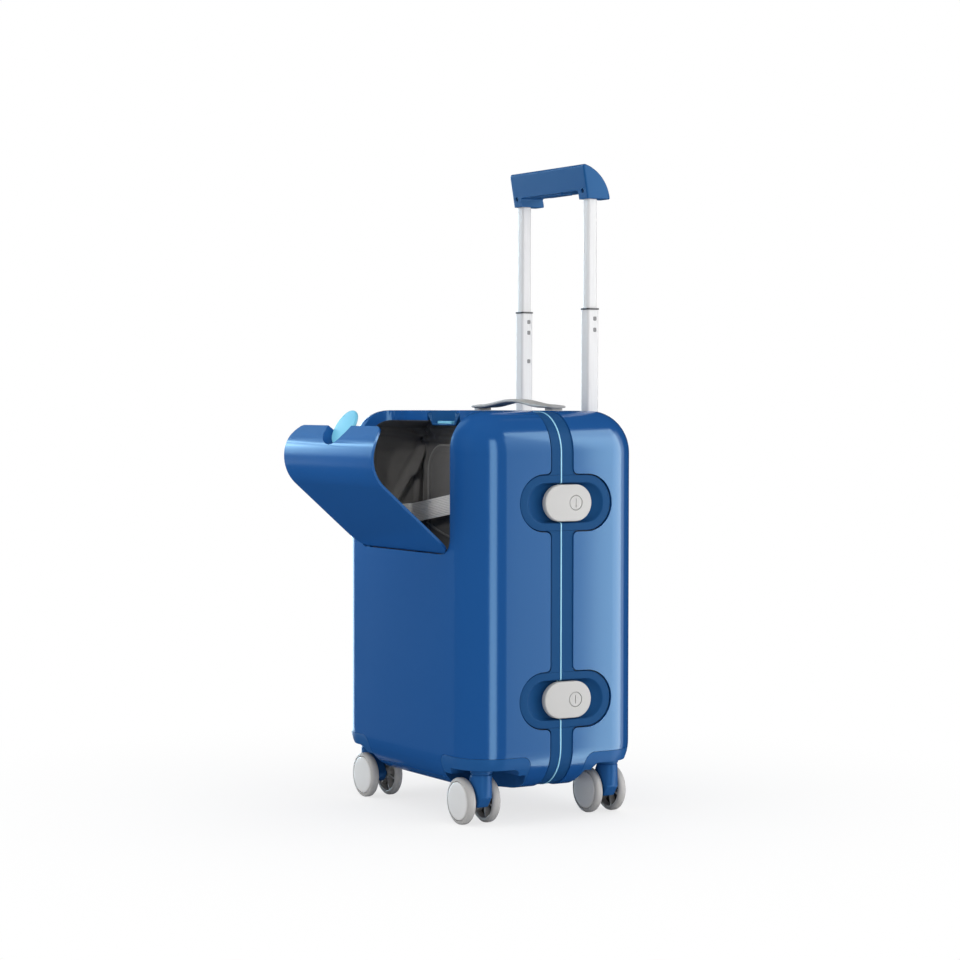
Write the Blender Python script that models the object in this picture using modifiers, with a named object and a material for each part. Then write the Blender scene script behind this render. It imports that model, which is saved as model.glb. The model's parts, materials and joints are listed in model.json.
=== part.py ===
"""Kids' rolling suitcase: hard shell in two halves, front hatch, telescopic trolley and four casters.

Metres, +Z up, -Y is the front (hatch side), +X is the latch side.
The origin is on the ground, under the middle of the case.
"""
import math

import bmesh
import bpy
from mathutils import Matrix, Vector

MM = 0.001
GAP = 0.3 * MM

# Body of the case
WIDTH = 336 * MM
DEPTH = 234 * MM
BODY_BOTTOM = 38 * MM
BODY_HEIGHT = 443 * MM
BODY_TOP = BODY_BOTTOM + BODY_HEIGHT
CORNER_RADIUS = 50 * MM
FACE_RADIUS = 45 * MM
SHELL_WALL = 3 * MM
CORNER_STEPS = 8
FACE_STEPS = 6
SOFT_STEPS = (5, 3)
FRONT_FACE = -DEPTH / 2
REAR_FACE = DEPTH / 2
SIDE_FACE = WIDTH / 2

# Frame band where the two halves meet
PARTING = 1.3 * MM
GASKET_THICKNESS = 1.4 * MM
FRONT_BAND = 12 * MM
REAR_BAND = 15 * MM
BAND_RECESS = 1.5 * MM
BAND_DEPTH = 10 * MM
GASKET_PROUD = 0.5 * MM
FRONT_FRAME_BACK = PARTING - GAP
FRONT_FRAME_FRONT = FRONT_FRAME_BACK - FRONT_BAND
REAR_FRAME_FRONT = PARTING + GASKET_THICKNESS + GAP
REAR_FRAME_BACK = REAR_FRAME_FRONT + REAR_BAND

# Latches on the +X side
LATCH_HEIGHTS = {"upper": 374 * MM, "lower": 144 * MM}
LATCH_LENGTH = 64 * MM
LATCH_WIDTH = 43 * MM
LATCH_FRONT = -22 * MM
LATCH_PROUD = 2.5 * MM
LATCH_THICKNESS = 9 * MM
LATCH_EDGE = 2 * MM
LATCH_FLOOR_GAP = 2 * MM
LOBE_FRONT = -54 * MM
LOBE_BACK = 71 * MM
LOBE_HEIGHT = 65 * MM
LOBE_THICKNESS = 8 * MM
DISH_FRONT = -43 * MM
DISH_BACK = 60 * MM
DISH_HEIGHT = 47 * MM
LATCH_BACK = LATCH_FRONT + LATCH_LENGTH
LATCH_TOP = SIDE_FACE + LATCH_PROUD
LATCH_UNDER = LATCH_TOP - LATCH_THICKNESS
DISH_FLOOR = LATCH_UNDER - LATCH_FLOOR_GAP
LATCH_PIVOT_INSET = 5 * MM
LATCH_PIVOT = Vector((LATCH_UNDER + 3.5 * MM, LATCH_BACK - LATCH_PIVOT_INSET, 0))
LATCH_PIN_RADIUS = 1.3 * MM
LATCH_KNUCKLE_RADIUS = 3 * MM
LATCH_KNUCKLE_HALF = 5 * MM
LOCK_RADIUS = 8.4 * MM
LOCK_DEPTH = 5.5 * MM
LOCK_SETBACK = 22 * MM
LOCK_SLOT = 1.6 * MM
STRIKE_THICKNESS = 1.4 * MM

# Hinges on the -X side, where the front half swings open
CASE_HINGE_HEIGHTS = {"upper": 374 * MM, "lower": 144 * MM}
CASE_HINGE_RADIUS = 3 * MM
CASE_HINGE_PIN = 1.3 * MM
CASE_HINGE_AXIS_X = -(SIDE_FACE + CASE_HINGE_RADIUS + GAP)
CASE_HINGE_AXIS_Y = PARTING - GAP / 2
CASE_HINGE_CENTRE_HALF = 6 * MM
CASE_HINGE_HALF = 18 * MM
CASE_LEAF_OUT = SIDE_FACE + 1.5 * MM

# Hatch in the front half
HATCH_HALF_WIDTH = 113.5 * MM
HATCH_BOTTOM = 313.5 * MM
HATCH_BACK = FRONT_FACE + FACE_RADIUS + 11 * MM
HATCH_CORNER = 20 * MM
HATCH_BACK_CORNER = 32 * MM
HATCH_CLEARANCE = 0.7 * MM
HATCH_OPEN_ANGLE = math.radians(49)
HATCH_BARREL_RADIUS = 4.5 * MM
HATCH_BARREL_HALF = 88 * MM
HATCH_ROD_RADIUS = 1.5 * MM
HATCH_LUG_WIDTH = 6 * MM
HATCH_LUG_RADIUS = 4.2 * MM
HATCH_LUG_DROP = 22 * MM
HATCH_LUG_THICKNESS = 5 * MM
HATCH_AXIS = Vector((0, FRONT_FACE + HATCH_BARREL_RADIUS, HATCH_BOTTOM + HATCH_BARREL_RADIUS + 0.5 * MM))
THUMB_DISH_RADIUS = 32 * MM
THUMB_DISH_Y = HATCH_BACK + 1 * MM
THUMB_DISH_WALL = 2 * MM
THUMB_DISH_DEPTH = 18 * MM
THUMB_DISH_DRAFT = 4 * MM
CATCH_TOP_HALF = 39 * MM
CATCH_BOTTOM_HALF = 27 * MM
CATCH_SHOULDER = 12 * MM
CATCH_LENGTH = 35 * MM
BUTTON_RADIUS = 23 * MM
BUTTON_THICKNESS = 4 * MM
BUTTON_TILT = math.radians(11)
BUTTON_CENTRE = Vector((0, THUMB_DISH_Y + 1 * MM, BODY_TOP - 7 * MM))
BUTTON_PIVOT = Vector((0, BUTTON_CENTRE.y - BUTTON_RADIUS - 8 * MM, BODY_TOP - 15 * MM))
BUTTON_ARM_HALF = 8 * MM
BUTTON_PIN_RADIUS = 1.2 * MM
BUTTON_EAR = 4 * MM
BUTTON_EAR_RADIUS = 3.2 * MM
STRIKER_HALF_WIDTH = 17 * MM
STRIKER_LENGTH = 8 * MM
STRIKER_HEIGHT = 3 * MM

# Lining, divider and packing strap
LINING_INSET = BAND_RECESS + BAND_DEPTH + GAP
LINING_THICKNESS = 1.5 * MM
DIVIDER_TOP = 437 * MM
DIVIDER_THICKNESS = 2.5 * MM
DIVIDER_SETBACK = 3.5 * MM
STRAP_WIDTH = 25 * MM
STRAP_THICKNESS = 1.5 * MM
STRAP_Y = -21 * MM
STRAP_LEFT_Z = 350 * MM
STRAP_RIGHT_Z = 395 * MM

# Trolley
TUBE_X = 76 * MM
TUBE_WALL = 1.2 * MM
LOWER_TUBE = 16 * MM
TUBE_SETBACK = 6 * MM
TUBE_Y = REAR_FACE - SHELL_WALL - TUBE_SETBACK - LOWER_TUBE / 2
UPPER_TUBE = LOWER_TUBE - 2 * TUBE_WALL - 2 * GAP
TUBE_CORNER = 3 * MM
SLEEVE_WALL = 1.2 * MM
SLEEVE_BOTTOM = 70 * MM
BEZEL_BOTTOM = BODY_TOP - 28 * MM
BEZEL_HALF_WIDTH = 97 * MM
BEZEL_HALF_DEPTH = 14 * MM
REAR_LINING_BACK = TUBE_Y - BEZEL_HALF_DEPTH - MM
LOWER_TUBE_TOP = 603 * MM
LOWER_TUBE_BOTTOM = 432 * MM
COLLAR_HEIGHT = 2 * MM
COLLAR_PROUD = 0.7 * MM
UPPER_TUBE_BOTTOM = 572 * MM
GRIP_BOTTOM = 737 * MM
LOCK_HOLE_RADIUS = 2.2 * MM
LOCK_HOLES = (-10.5 * MM, -24 * MM)
EXTRA_LOCK_HOLE = -60 * MM

# Grip
GRIP_HEIGHT = 41.5 * MM
GRIP_FRONT = TUBE_Y - 16 * MM
GRIP_BACK = TUBE_Y + 23 * MM
GRIP_LEAN = 6.5 * MM
GRIP_CREST = 3 * MM
GRIP_BROW = 3.5 * MM
GRIP_HEEL = 2 * MM
GRIP_BULGE = 8 * MM
GRIP_BACK_STEPS = 8
GRIP_LEG_HALF = 9.8 * MM
GRIP_LEG_HEIGHT = 11 * MM
GRIP_SOCKET_DEPTH = 15 * MM
GRIP_EDGE = 1.5 * MM
TRIGGER_HALF_LENGTH = 25 * MM
TRIGGER_HALF_WIDTH = 8 * MM
TRIGGER_HEIGHT = 8.5 * MM
TRIGGER_PROUD = 2.5 * MM
TRIGGER_TRAVEL = 3 * MM
LINK_HALF = 1.5 * MM
LINK_BOTTOM = 580 * MM
SCREW_HEAD_RADIUS = 2.6 * MM
SCREW_LENGTH = 3.2 * MM
SCREW_RISE = 10 * MM

# Carry handle on the top
CARRY_Y = 43.6 * MM
CARRY_HALF_LENGTH = 94 * MM
CARRY_HALF_WIDTH = 13 * MM
CARRY_THICKNESS = 4.4 * MM
CARRY_FOOT_HEIGHT = 3 * MM
CARRY_RISE = 6.5 * MM
CARRY_FLAT = 22 * MM
CARRY_STEPS = 16

# Casters
CASTER_X = 136 * MM
CASTER_Y = 87.5 * MM
CASTER_TRAIL = 17.5 * MM
WHEEL_RADIUS = 27.5 * MM
WHEEL_WIDTH = 11 * MM
WHEEL_SPACING = 34 * MM
WHEEL_STEPS = 20
AXLE_RADIUS = 2.8 * MM
HOUSING_WIDTH = 78 * MM
HOUSING_LENGTH = 79 * MM
HOUSING_TOP = 80 * MM
HOUSING_CORNER = 12 * MM
HOUSING_WALL = 1.6 * MM
WELL_CLEARANCE = 1.2 * MM
WELL_TOP = 57.8 * MM
WELL_LEDGE = 66 * MM
WELL_SIDE_X = 105 * MM
WELL_SIDE_Y = 50 * MM
WELL_CORNER = 8 * MM
COLLAR_RADIUS = 13 * MM
COLLAR_BOTTOM = 61 * MM
FORK_TOP_RADIUS = 12.3 * MM
FORK_HALF_THICKNESS = 7.5 * MM
FORK_END_RADIUS = 9 * MM
FORK_FRONT = 11.5 * MM
FORK_FRONT_BOTTOM = 33 * MM
FORK_TOE = 3.5 * MM
FORK_TOE_BOTTOM = 21.5 * MM
STEM_RADIUS = 5 * MM
STEM_LENGTH = 10 * MM
SWEEP = math.hypot(CASTER_TRAIL + WHEEL_RADIUS, WHEEL_SPACING / 2 + WHEEL_WIDTH / 2)
CORNERS = {
    "front_left": (-1, -1),
    "front_right": (1, -1),
    "rear_left": (-1, 1),
    "rear_right": (1, 1),
}
FAR = 60 * MM


# Scene, collections and materials
def clear_scene():
    for obj in list(bpy.data.objects):
        bpy.data.objects.remove(obj, do_unlink=True)


def new_collection(name):
    collection = bpy.data.collections.new(name)
    bpy.context.scene.collection.children.link(collection)
    return collection


def new_material(name, colour, roughness, metallic=0.0):
    material = bpy.data.materials.new(name)
    material.use_nodes = True
    shader = material.node_tree.nodes["Principled BSDF"]
    shader.inputs["Base Color"].default_value = (*colour, 1.0)
    shader.inputs["Roughness"].default_value = roughness
    shader.inputs["Metallic"].default_value = metallic
    return material


clear_scene()
PARTS = new_collection("kids_suitcase")
CUTTERS = new_collection("cutters")
BLUE = (0.017, 0.085, 0.26)
LIGHT_BLUE = (0.16, 0.62, 0.86)
PALE_GREY = (0.62, 0.61, 0.60)
LOOKS = {
    "shell": (BLUE, 0.18, 0.0),
    "frame": (BLUE, 0.42, 0.0),
    "accent": (LIGHT_BLUE, 0.35, 0.0),
    "grey": (PALE_GREY, 0.45, 0.0),
    "tube": ((0.75, 0.76, 0.77), 0.28, 1.0),
    "steel": ((0.55, 0.55, 0.56), 0.35, 1.0),
    "fabric": ((0.045, 0.045, 0.047), 0.9, 0.0),
    "elastic": ((0.45, 0.44, 0.42), 0.85, 0.0),
    "tyre": ((0.50, 0.49, 0.48), 0.6, 0.0),
    "inner_plastic": ((0.03, 0.03, 0.035), 0.5, 0.0),
}


# Mesh building
def box_mesh(low, high):
    mesh = bmesh.new()
    bmesh.ops.create_cube(mesh, size=1.0)
    size = Vector(high) - Vector(low)
    centre = (Vector(high) + Vector(low)) / 2
    bmesh.ops.scale(mesh, vec=size, verts=mesh.verts)
    bmesh.ops.translate(mesh, vec=centre, verts=mesh.verts)
    return mesh


def cylinder_mesh(radius, low, high, axis="z", centre=(0, 0, 0), steps=24, top_radius=None):
    mesh = bmesh.new()
    bmesh.ops.create_cone(
        mesh,
        cap_ends=True,
        segments=steps,
        radius1=radius,
        radius2=radius if top_radius is None else top_radius,
        depth=high - low,
    )
    bmesh.ops.translate(mesh, vec=(0, 0, (low + high) / 2), verts=mesh.verts)
    turn = {
        "x": Matrix.Rotation(math.radians(90), 3, "Y"),
        "y": Matrix.Rotation(math.radians(-90), 3, "X"),
        "z": Matrix.Identity(3),
    }[axis]
    bmesh.ops.rotate(mesh, matrix=turn, verts=mesh.verts)
    bmesh.ops.translate(mesh, vec=centre, verts=mesh.verts)
    return mesh


def edges_along(mesh, axis):
    index = "xyz".index(axis)
    found = []
    for edge in mesh.edges:
        span = edge.verts[0].co - edge.verts[1].co
        if abs(span[index]) > 0.999 * span.length:
            found.append(edge)
    return found


def round_edges(mesh, edges, radius, steps):
    bmesh.ops.bevel(
        mesh,
        geom=edges,
        offset=radius,
        offset_type="OFFSET",
        segments=steps,
        profile=0.5,
        affect="EDGES",
        clamp_overlap=False,
    )


def slab_mesh(low, high, axis, radius, steps=4):
    """A box whose four edges along one axis are rounded."""
    mesh = box_mesh(low, high)
    round_edges(mesh, edges_along(mesh, axis), radius, steps)
    return mesh


def stadium_mesh(low, high, steps=28):
    """A plate across X with half-round ends along Y."""
    size = Vector(high) - Vector(low)
    half = size.z / 2
    mesh = cylinder_mesh(half, 0.0, size.x, "z", (0, 0, 0), steps)
    turn = Matrix.Rotation(math.pi / steps, 3, "Z")
    bmesh.ops.rotate(mesh, matrix=turn, verts=mesh.verts)
    shift = size.y / 2 - half
    widen = 1 / math.cos(math.pi / steps)
    for vert in mesh.verts:
        across, along, up = vert.co
        side = 1 if along > 0 else -1
        vert.co = (low[0] + up, (low[1] + high[1]) / 2 + along + side * shift, (low[2] + high[2]) / 2 + across * widen)
    bmesh.ops.recalc_face_normals(mesh, faces=mesh.faces)
    return mesh


def mirror_mesh(mesh, side_x, side_y):
    bmesh.ops.scale(mesh, vec=(side_x, side_y, 1), verts=mesh.verts)
    if side_x * side_y < 0:
        bmesh.ops.reverse_faces(mesh, faces=mesh.faces)
    return mesh


def case_mesh(inset, front, back, front_radius=0.0, back_radius=0.0, steps=(CORNER_STEPS, FACE_STEPS)):
    """The case's outline, drawn in by inset, between two planes, with its face edges rounded."""
    half = SIDE_FACE - inset
    mesh = box_mesh((-half, front, BODY_BOTTOM + inset), (half, back, BODY_TOP - inset))
    round_edges(mesh, edges_along(mesh, "y"), CORNER_RADIUS - inset, steps[0])
    for plane, radius in ((front, front_radius), (back, back_radius)):
        if radius > 0:
            rim = [e for e in mesh.edges if all(abs(v.co.y - plane) < 1e-6 for v in e.verts)]
            round_edges(mesh, rim, radius, steps[1])
    return mesh


# Objects
def add_object(name, mesh, look=None):
    data = bpy.data.meshes.new(name)
    bmesh.ops.recalc_face_normals(mesh, faces=mesh.faces)
    mesh.to_mesh(data)
    mesh.free()
    obj = bpy.data.objects.new(name, data)
    if look is None:
        CUTTERS.objects.link(obj)
        obj.hide_render = True
        obj.display_type = "WIRE"
        return obj
    PARTS.objects.link(obj)
    data.materials.append(new_material(name, *LOOKS[look]))
    data.shade_smooth()
    data.set_sharp_from_angle(angle=math.radians(30))
    return obj


def boolean(obj, operation, tool):
    modifier = obj.modifiers.new(operation.title(), "BOOLEAN")
    modifier.operation = operation
    modifier.object = tool
    return modifier


def cut(obj, *tools):
    for tool in tools:
        boolean(obj, "DIFFERENCE", tool)


def join(obj, *tools):
    for tool in tools:
        boolean(obj, "UNION", tool)


def keep_inside(obj, tool):
    boolean(obj, "INTERSECT", tool)


def tool_box(name, low, high, axis=None, radius=0.0, steps=4):
    if axis is None:
        return add_object(name, box_mesh(low, high))
    return add_object(name, slab_mesh(low, high, axis, radius, steps))


def tool_cylinder(name, radius, low, high, axis="z", centre=(0, 0, 0), steps=24):
    return add_object(name, cylinder_mesh(radius, low, high, axis, centre, steps))


def hang_on(pivot, *objects):
    """Parents objects to a pivot and keeps them where they are."""
    bpy.context.view_layer.update()
    for obj in objects:
        obj.parent = pivot
        obj.matrix_parent_inverse = pivot.matrix_world.inverted()


def new_pivot(name, place):
    pivot = bpy.data.objects.new(name, None)
    pivot.location = place
    pivot.empty_display_size = 0.02
    PARTS.objects.link(pivot)
    return pivot


def set_origin(obj, place):
    """Moves an object's origin to a point on its axis and leaves its shape in place."""
    obj.data.transform(Matrix.Translation(-Vector(place)))
    obj.location = place


def flat_outline(name, points, half_depth, look, centre_y):
    """A flat outline in the XZ plane, given depth along Y, as a mesh."""
    curve = bpy.data.curves.new(name, "CURVE")
    curve.dimensions = "2D"
    curve.fill_mode = "BOTH"
    curve.extrude = half_depth
    spline = curve.splines.new("POLY")
    spline.points.add(len(points) - 1)
    for point, (x, z) in zip(spline.points, points):
        point.co = (x, z, 0, 1)
    spline.use_cyclic_u = True
    holder = bpy.data.objects.new(name, curve)
    holder.rotation_euler = (math.radians(90), 0, 0)
    holder.location = (0, centre_y, 0)
    PARTS.objects.link(holder)
    bpy.context.view_layer.update()
    data = bpy.data.meshes.new_from_object(holder.evaluated_get(bpy.context.evaluated_depsgraph_get()))
    mesh = bmesh.new()
    mesh.from_mesh(data)
    bmesh.ops.transform(mesh, matrix=holder.matrix_world, verts=mesh.verts)
    bmesh.ops.remove_doubles(mesh, verts=mesh.verts, dist=1e-6)
    bpy.data.objects.remove(holder, do_unlink=True)
    bpy.data.meshes.remove(data)
    bpy.data.curves.remove(curve)
    return add_object(name, mesh, look)


# Shared tools
def hatch_tool(name, clearance, bottom):
    """The block that the hatch opening takes out of the front half's top edge."""
    half = HATCH_HALF_WIDTH + clearance
    back = HATCH_BACK + clearance
    mesh = box_mesh((-half, FRONT_FACE - FAR, bottom), (half, back, BODY_TOP + FAR))
    bottom_edges = [e for e in edges_along(mesh, "y") if e.verts[0].co.z < bottom + MM]
    back_edges = [e for e in edges_along(mesh, "z") if e.verts[0].co.y > back - MM]
    round_edges(mesh, bottom_edges, HATCH_CORNER + clearance, 5)
    round_edges(mesh, [e for e in back_edges if e.is_valid], HATCH_BACK_CORNER + clearance, 6)
    return add_object(name, mesh)


def lobe_tool(name, height, clearance, low_x, high_x, front=LOBE_FRONT, back=LOBE_BACK, width=LOBE_HEIGHT):
    """A round-ended block along Y, for the lobes of the band and the dish round a latch."""
    half = width / 2 + clearance
    low = (low_x, front - clearance, height - half)
    high = (high_x, back + clearance, height + half)
    return add_object(name, stadium_mesh(low, high))


def pocket_tool(name, side_x, side_y, grow):
    """The corner pocket that a caster housing fills."""
    low = (SIDE_FACE - HOUSING_WIDTH - grow, DEPTH / 2 - HOUSING_LENGTH - grow, BODY_BOTTOM - FAR)
    high = (SIDE_FACE + FAR, DEPTH / 2 + FAR, HOUSING_TOP + grow)
    mesh = box_mesh(low, high)
    round_edges(mesh, list(mesh.edges), HOUSING_CORNER, 3)
    tool = add_object(name, mirror_mesh(mesh, side_x, side_y))
    radius = SWEEP + WELL_CLEARANCE + HOUSING_WALL + grow
    centre = (side_x * CASTER_X, side_y * CASTER_Y, 0)
    top = WELL_TOP + HOUSING_WALL + grow
    join(tool, tool_cylinder(name + "_round", radius, BODY_BOTTOM - FAR, top, "z", centre, 32))
    return tool


# Shells, frame and gasket
def half_shell(name, front, back, front_radius, back_radius, open_plane):
    mesh = case_mesh(0.0, front, back, front_radius, back_radius)
    lid = [f for f in mesh.faces if all(abs(v.co.y - open_plane) < 1e-6 for v in f.verts)]
    bmesh.ops.delete(mesh, geom=lid, context="FACES_ONLY")
    shell = add_object(name, mesh, "shell")
    wall = shell.modifiers.new("Wall", "SOLIDIFY")
    wall.thickness = SHELL_WALL
    wall.offset = -1.0
    wall.use_even_offset = True
    return shell


def make_front_shell():
    back = FRONT_FRAME_FRONT - GAP
    shell = half_shell("front_shell", FRONT_FACE, back, FACE_RADIUS, 0.0, back)
    cut(shell, hatch_tool("hatch_opening", 0.0, HATCH_BOTTOM))
    cut(shell, tool_cylinder("thumb_hole", THUMB_DISH_RADIUS, BODY_TOP - 8 * MM, BODY_TOP + FAR, "z",
                             (0, THUMB_DISH_Y, 0), 32))
    for label, height in LATCH_HEIGHTS.items():
        cut(shell, lobe_tool("front_lobe_hole_" + label, height, GAP + 0.1 * MM, SIDE_FACE - 20 * MM, SIDE_FACE + FAR))
    for side_x in (-1, 1):
        label = "left" if side_x < 0 else "right"
        cut(shell, pocket_tool("front_pocket_" + label, side_x, -1, GAP))
        join(shell, hatch_lug(side_x, label))
    cut(shell, tool_cylinder("lug_bore", HATCH_ROD_RADIUS + 0.2 * MM, -HATCH_HALF_WIDTH, HATCH_HALF_WIDTH, "x",
                             HATCH_AXIS, 16))
    return shell


def hatch_lug(side_x, label):
    """A knuckle inside the front wall that holds one end of the hatch rod."""
    inner = HATCH_BARREL_HALF + 0.5 * MM
    outer = inner + HATCH_LUG_WIDTH
    low_x, high_x = sorted((side_x * inner, side_x * outer))
    wall = FRONT_FACE + SHELL_WALL
    low = (low_x, wall - 0.5 * MM, HATCH_AXIS.z - HATCH_LUG_DROP)
    high = (high_x, wall + HATCH_LUG_THICKNESS, HATCH_AXIS.z)
    lug = tool_box("hatch_lug_" + label, low, high)
    join(lug, tool_cylinder("hatch_lug_eye_" + label, HATCH_LUG_RADIUS, low_x, high_x, "x", HATCH_AXIS, 16))
    return lug


def make_rear_shell():
    front = REAR_FRAME_BACK + GAP
    shell = half_shell("rear_shell", front, REAR_FACE, 0.0, FACE_RADIUS, front)
    for label, height in LATCH_HEIGHTS.items():
        cut(shell, lobe_tool("rear_lobe_hole_" + label, height, GAP + 0.1 * MM, SIDE_FACE - 20 * MM, SIDE_FACE + FAR))
    for side_x in (-1, 1):
        label = "left" if side_x < 0 else "right"
        cut(shell, pocket_tool("rear_pocket_" + label, side_x, 1, GAP))
    cut(shell, bezel_tool("bezel_hole", GAP))
    return shell


def frame_ring(name, front, back, keep_front, keep_back):
    """One side of the band: a ring with a lobe at each latch, cut off at the parting plane."""
    frame = add_object(name, case_mesh(BAND_RECESS, front, back), "frame")
    cut(frame, add_object(name + "_inside", case_mesh(BAND_RECESS + BAND_DEPTH, front - FAR, back + FAR)))
    top = SIDE_FACE - BAND_RECESS
    for label, height in LATCH_HEIGHTS.items():
        join(frame, lobe_tool(name + "_lobe_" + label, height, 0.0, top - LOBE_THICKNESS, top))
    half = WIDTH
    cut(frame, tool_box(name + "_parting", (-half, keep_front, 0), (half, keep_back, BODY_TOP + FAR)))
    for label, height in LATCH_HEIGHTS.items():
        cut(frame, lobe_tool(name + "_dish_" + label, height, 0.0, DISH_FLOOR, SIDE_FACE + FAR,
                             DISH_FRONT, DISH_BACK, DISH_HEIGHT))
    return frame


def make_front_frame():
    frame = frame_ring("front_frame", FRONT_FRAME_FRONT, FRONT_FRAME_BACK, FRONT_FRAME_BACK, DEPTH)
    for label, height in LATCH_HEIGHTS.items():
        low = (DISH_FLOOR - MM, LATCH_FRONT + 2 * MM, height - 9 * MM)
        high = (DISH_FLOOR + STRIKE_THICKNESS, LATCH_FRONT + 12 * MM, height + 9 * MM)
        join(frame, tool_box("latch_strike_" + label, low, high))
    return frame


def make_rear_frame():
    frame = frame_ring("rear_frame", REAR_FRAME_FRONT, REAR_FRAME_BACK, -DEPTH, REAR_FRAME_FRONT)
    for label, height in LATCH_HEIGHTS.items():
        centre = LATCH_PIVOT + Vector((0, 0, height))
        low = (DISH_FLOOR - MM, centre.y - 2.5 * MM, height - LATCH_KNUCKLE_HALF)
        high = (centre.x, centre.y + 2.5 * MM, height + LATCH_KNUCKLE_HALF)
        ear = tool_box("latch_ear_" + label, low, high)
        eye = tool_cylinder("latch_eye_" + label, LATCH_KNUCKLE_RADIUS, height - LATCH_KNUCKLE_HALF,
                            height + LATCH_KNUCKLE_HALF, "z", LATCH_PIVOT, 16)
        join(ear, eye)
        join(frame, ear)
        cut(frame, tool_cylinder("latch_eye_bore_" + label, LATCH_PIN_RADIUS + 0.2 * MM, height - 8 * MM,
                                 height + 8 * MM, "z", LATCH_PIVOT, 12))
    return frame


def make_gasket():
    inset = BAND_RECESS - GASKET_PROUD
    gasket = add_object("gasket", case_mesh(inset, PARTING, PARTING + GASKET_THICKNESS), "accent")
    cut(gasket, add_object("gasket_inside", case_mesh(BAND_RECESS + BAND_DEPTH - GAP, -FAR, FAR)))
    for label, height in LATCH_HEIGHTS.items():
        cut(gasket, lobe_tool("gasket_dish_" + label, height, GAP, DISH_FLOOR - GAP, SIDE_FACE + FAR,
                              DISH_FRONT, DISH_BACK, DISH_HEIGHT))
    return gasket


# Lining, divider and strap
def lined_space(name, grow, front, back, front_radius, back_radius, side_y):
    """The packing space of one half, smaller by grow, with the caster pockets left out."""
    mesh = case_mesh(LINING_INSET + grow, front, back, front_radius, back_radius, SOFT_STEPS)
    space = add_object(name, mesh)
    for side_x in (-1, 1):
        label = "_left" if side_x < 0 else "_right"
        cut(space, pocket_tool(name + label, side_x, side_y, MM + grow))
    return space


def make_front_lining():
    front = FRONT_FACE + LINING_INSET
    back = FRONT_FRAME_BACK - MM
    radius = FACE_RADIUS - LINING_INSET
    mesh = case_mesh(LINING_INSET, front, back, radius, 0.0, SOFT_STEPS)
    lining = add_object("front_lining", mesh, "fabric")
    for side_x in (-1, 1):
        label = "left" if side_x < 0 else "right"
        cut(lining, pocket_tool("front_lining_pocket_" + label, side_x, -1, MM))
    inner_front = front + LINING_THICKNESS
    inner_radius = radius - LINING_THICKNESS
    cut(lining, lined_space("front_space", LINING_THICKNESS, inner_front, FAR, inner_radius, 0.0, -1))
    cut(lining, hatch_tool("front_lining_opening", 2 * MM, HATCH_BOTTOM - 2 * MM))
    low = (-CATCH_TOP_HALF - 3 * MM, HATCH_BACK - MM, BODY_TOP - 30 * MM)
    high = (CATCH_TOP_HALF + 3 * MM, HATCH_BACK + CATCH_LENGTH + 3 * MM, BODY_TOP)
    cut(lining, tool_box("front_lining_dish", low, high))
    return lining


def make_rear_lining():
    front = REAR_FRAME_FRONT + MM
    radius = 18 * MM
    mesh = case_mesh(LINING_INSET, front, REAR_LINING_BACK, 0.0, radius, SOFT_STEPS)
    lining = add_object("rear_lining", mesh, "fabric")
    for side_x in (-1, 1):
        label = "left" if side_x < 0 else "right"
        cut(lining, pocket_tool("rear_lining_pocket_" + label, side_x, 1, MM))
    inner_back = REAR_LINING_BACK - LINING_THICKNESS
    cut(lining, lined_space("rear_space", LINING_THICKNESS, -FAR, inner_back, 0.0, radius - LINING_THICKNESS, 1))
    return lining


def make_divider():
    inset = LINING_INSET + LINING_THICKNESS + GAP
    back = FRONT_FRAME_BACK - DIVIDER_SETBACK
    low = (inset - SIDE_FACE, back - DIVIDER_THICKNESS, BODY_BOTTOM + inset)
    high = (SIDE_FACE - inset, back, DIVIDER_TOP)
    mesh = slab_mesh(low, high, "y", CORNER_RADIUS - inset, SOFT_STEPS[0])
    divider = add_object("divider", mesh, "fabric")
    return divider


def make_packing_strap():
    half = SIDE_FACE - LINING_INSET - LINING_THICKNESS - GAP
    rise = STRAP_WIDTH / 2
    points = [
        (-half, STRAP_LEFT_Z - rise),
        (half, STRAP_RIGHT_Z - rise),
        (half, STRAP_RIGHT_Z + rise),
        (-half, STRAP_LEFT_Z + rise),
    ]
    return flat_outline("packing_strap", points, STRAP_THICKNESS / 2, "elastic", STRAP_Y)


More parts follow.
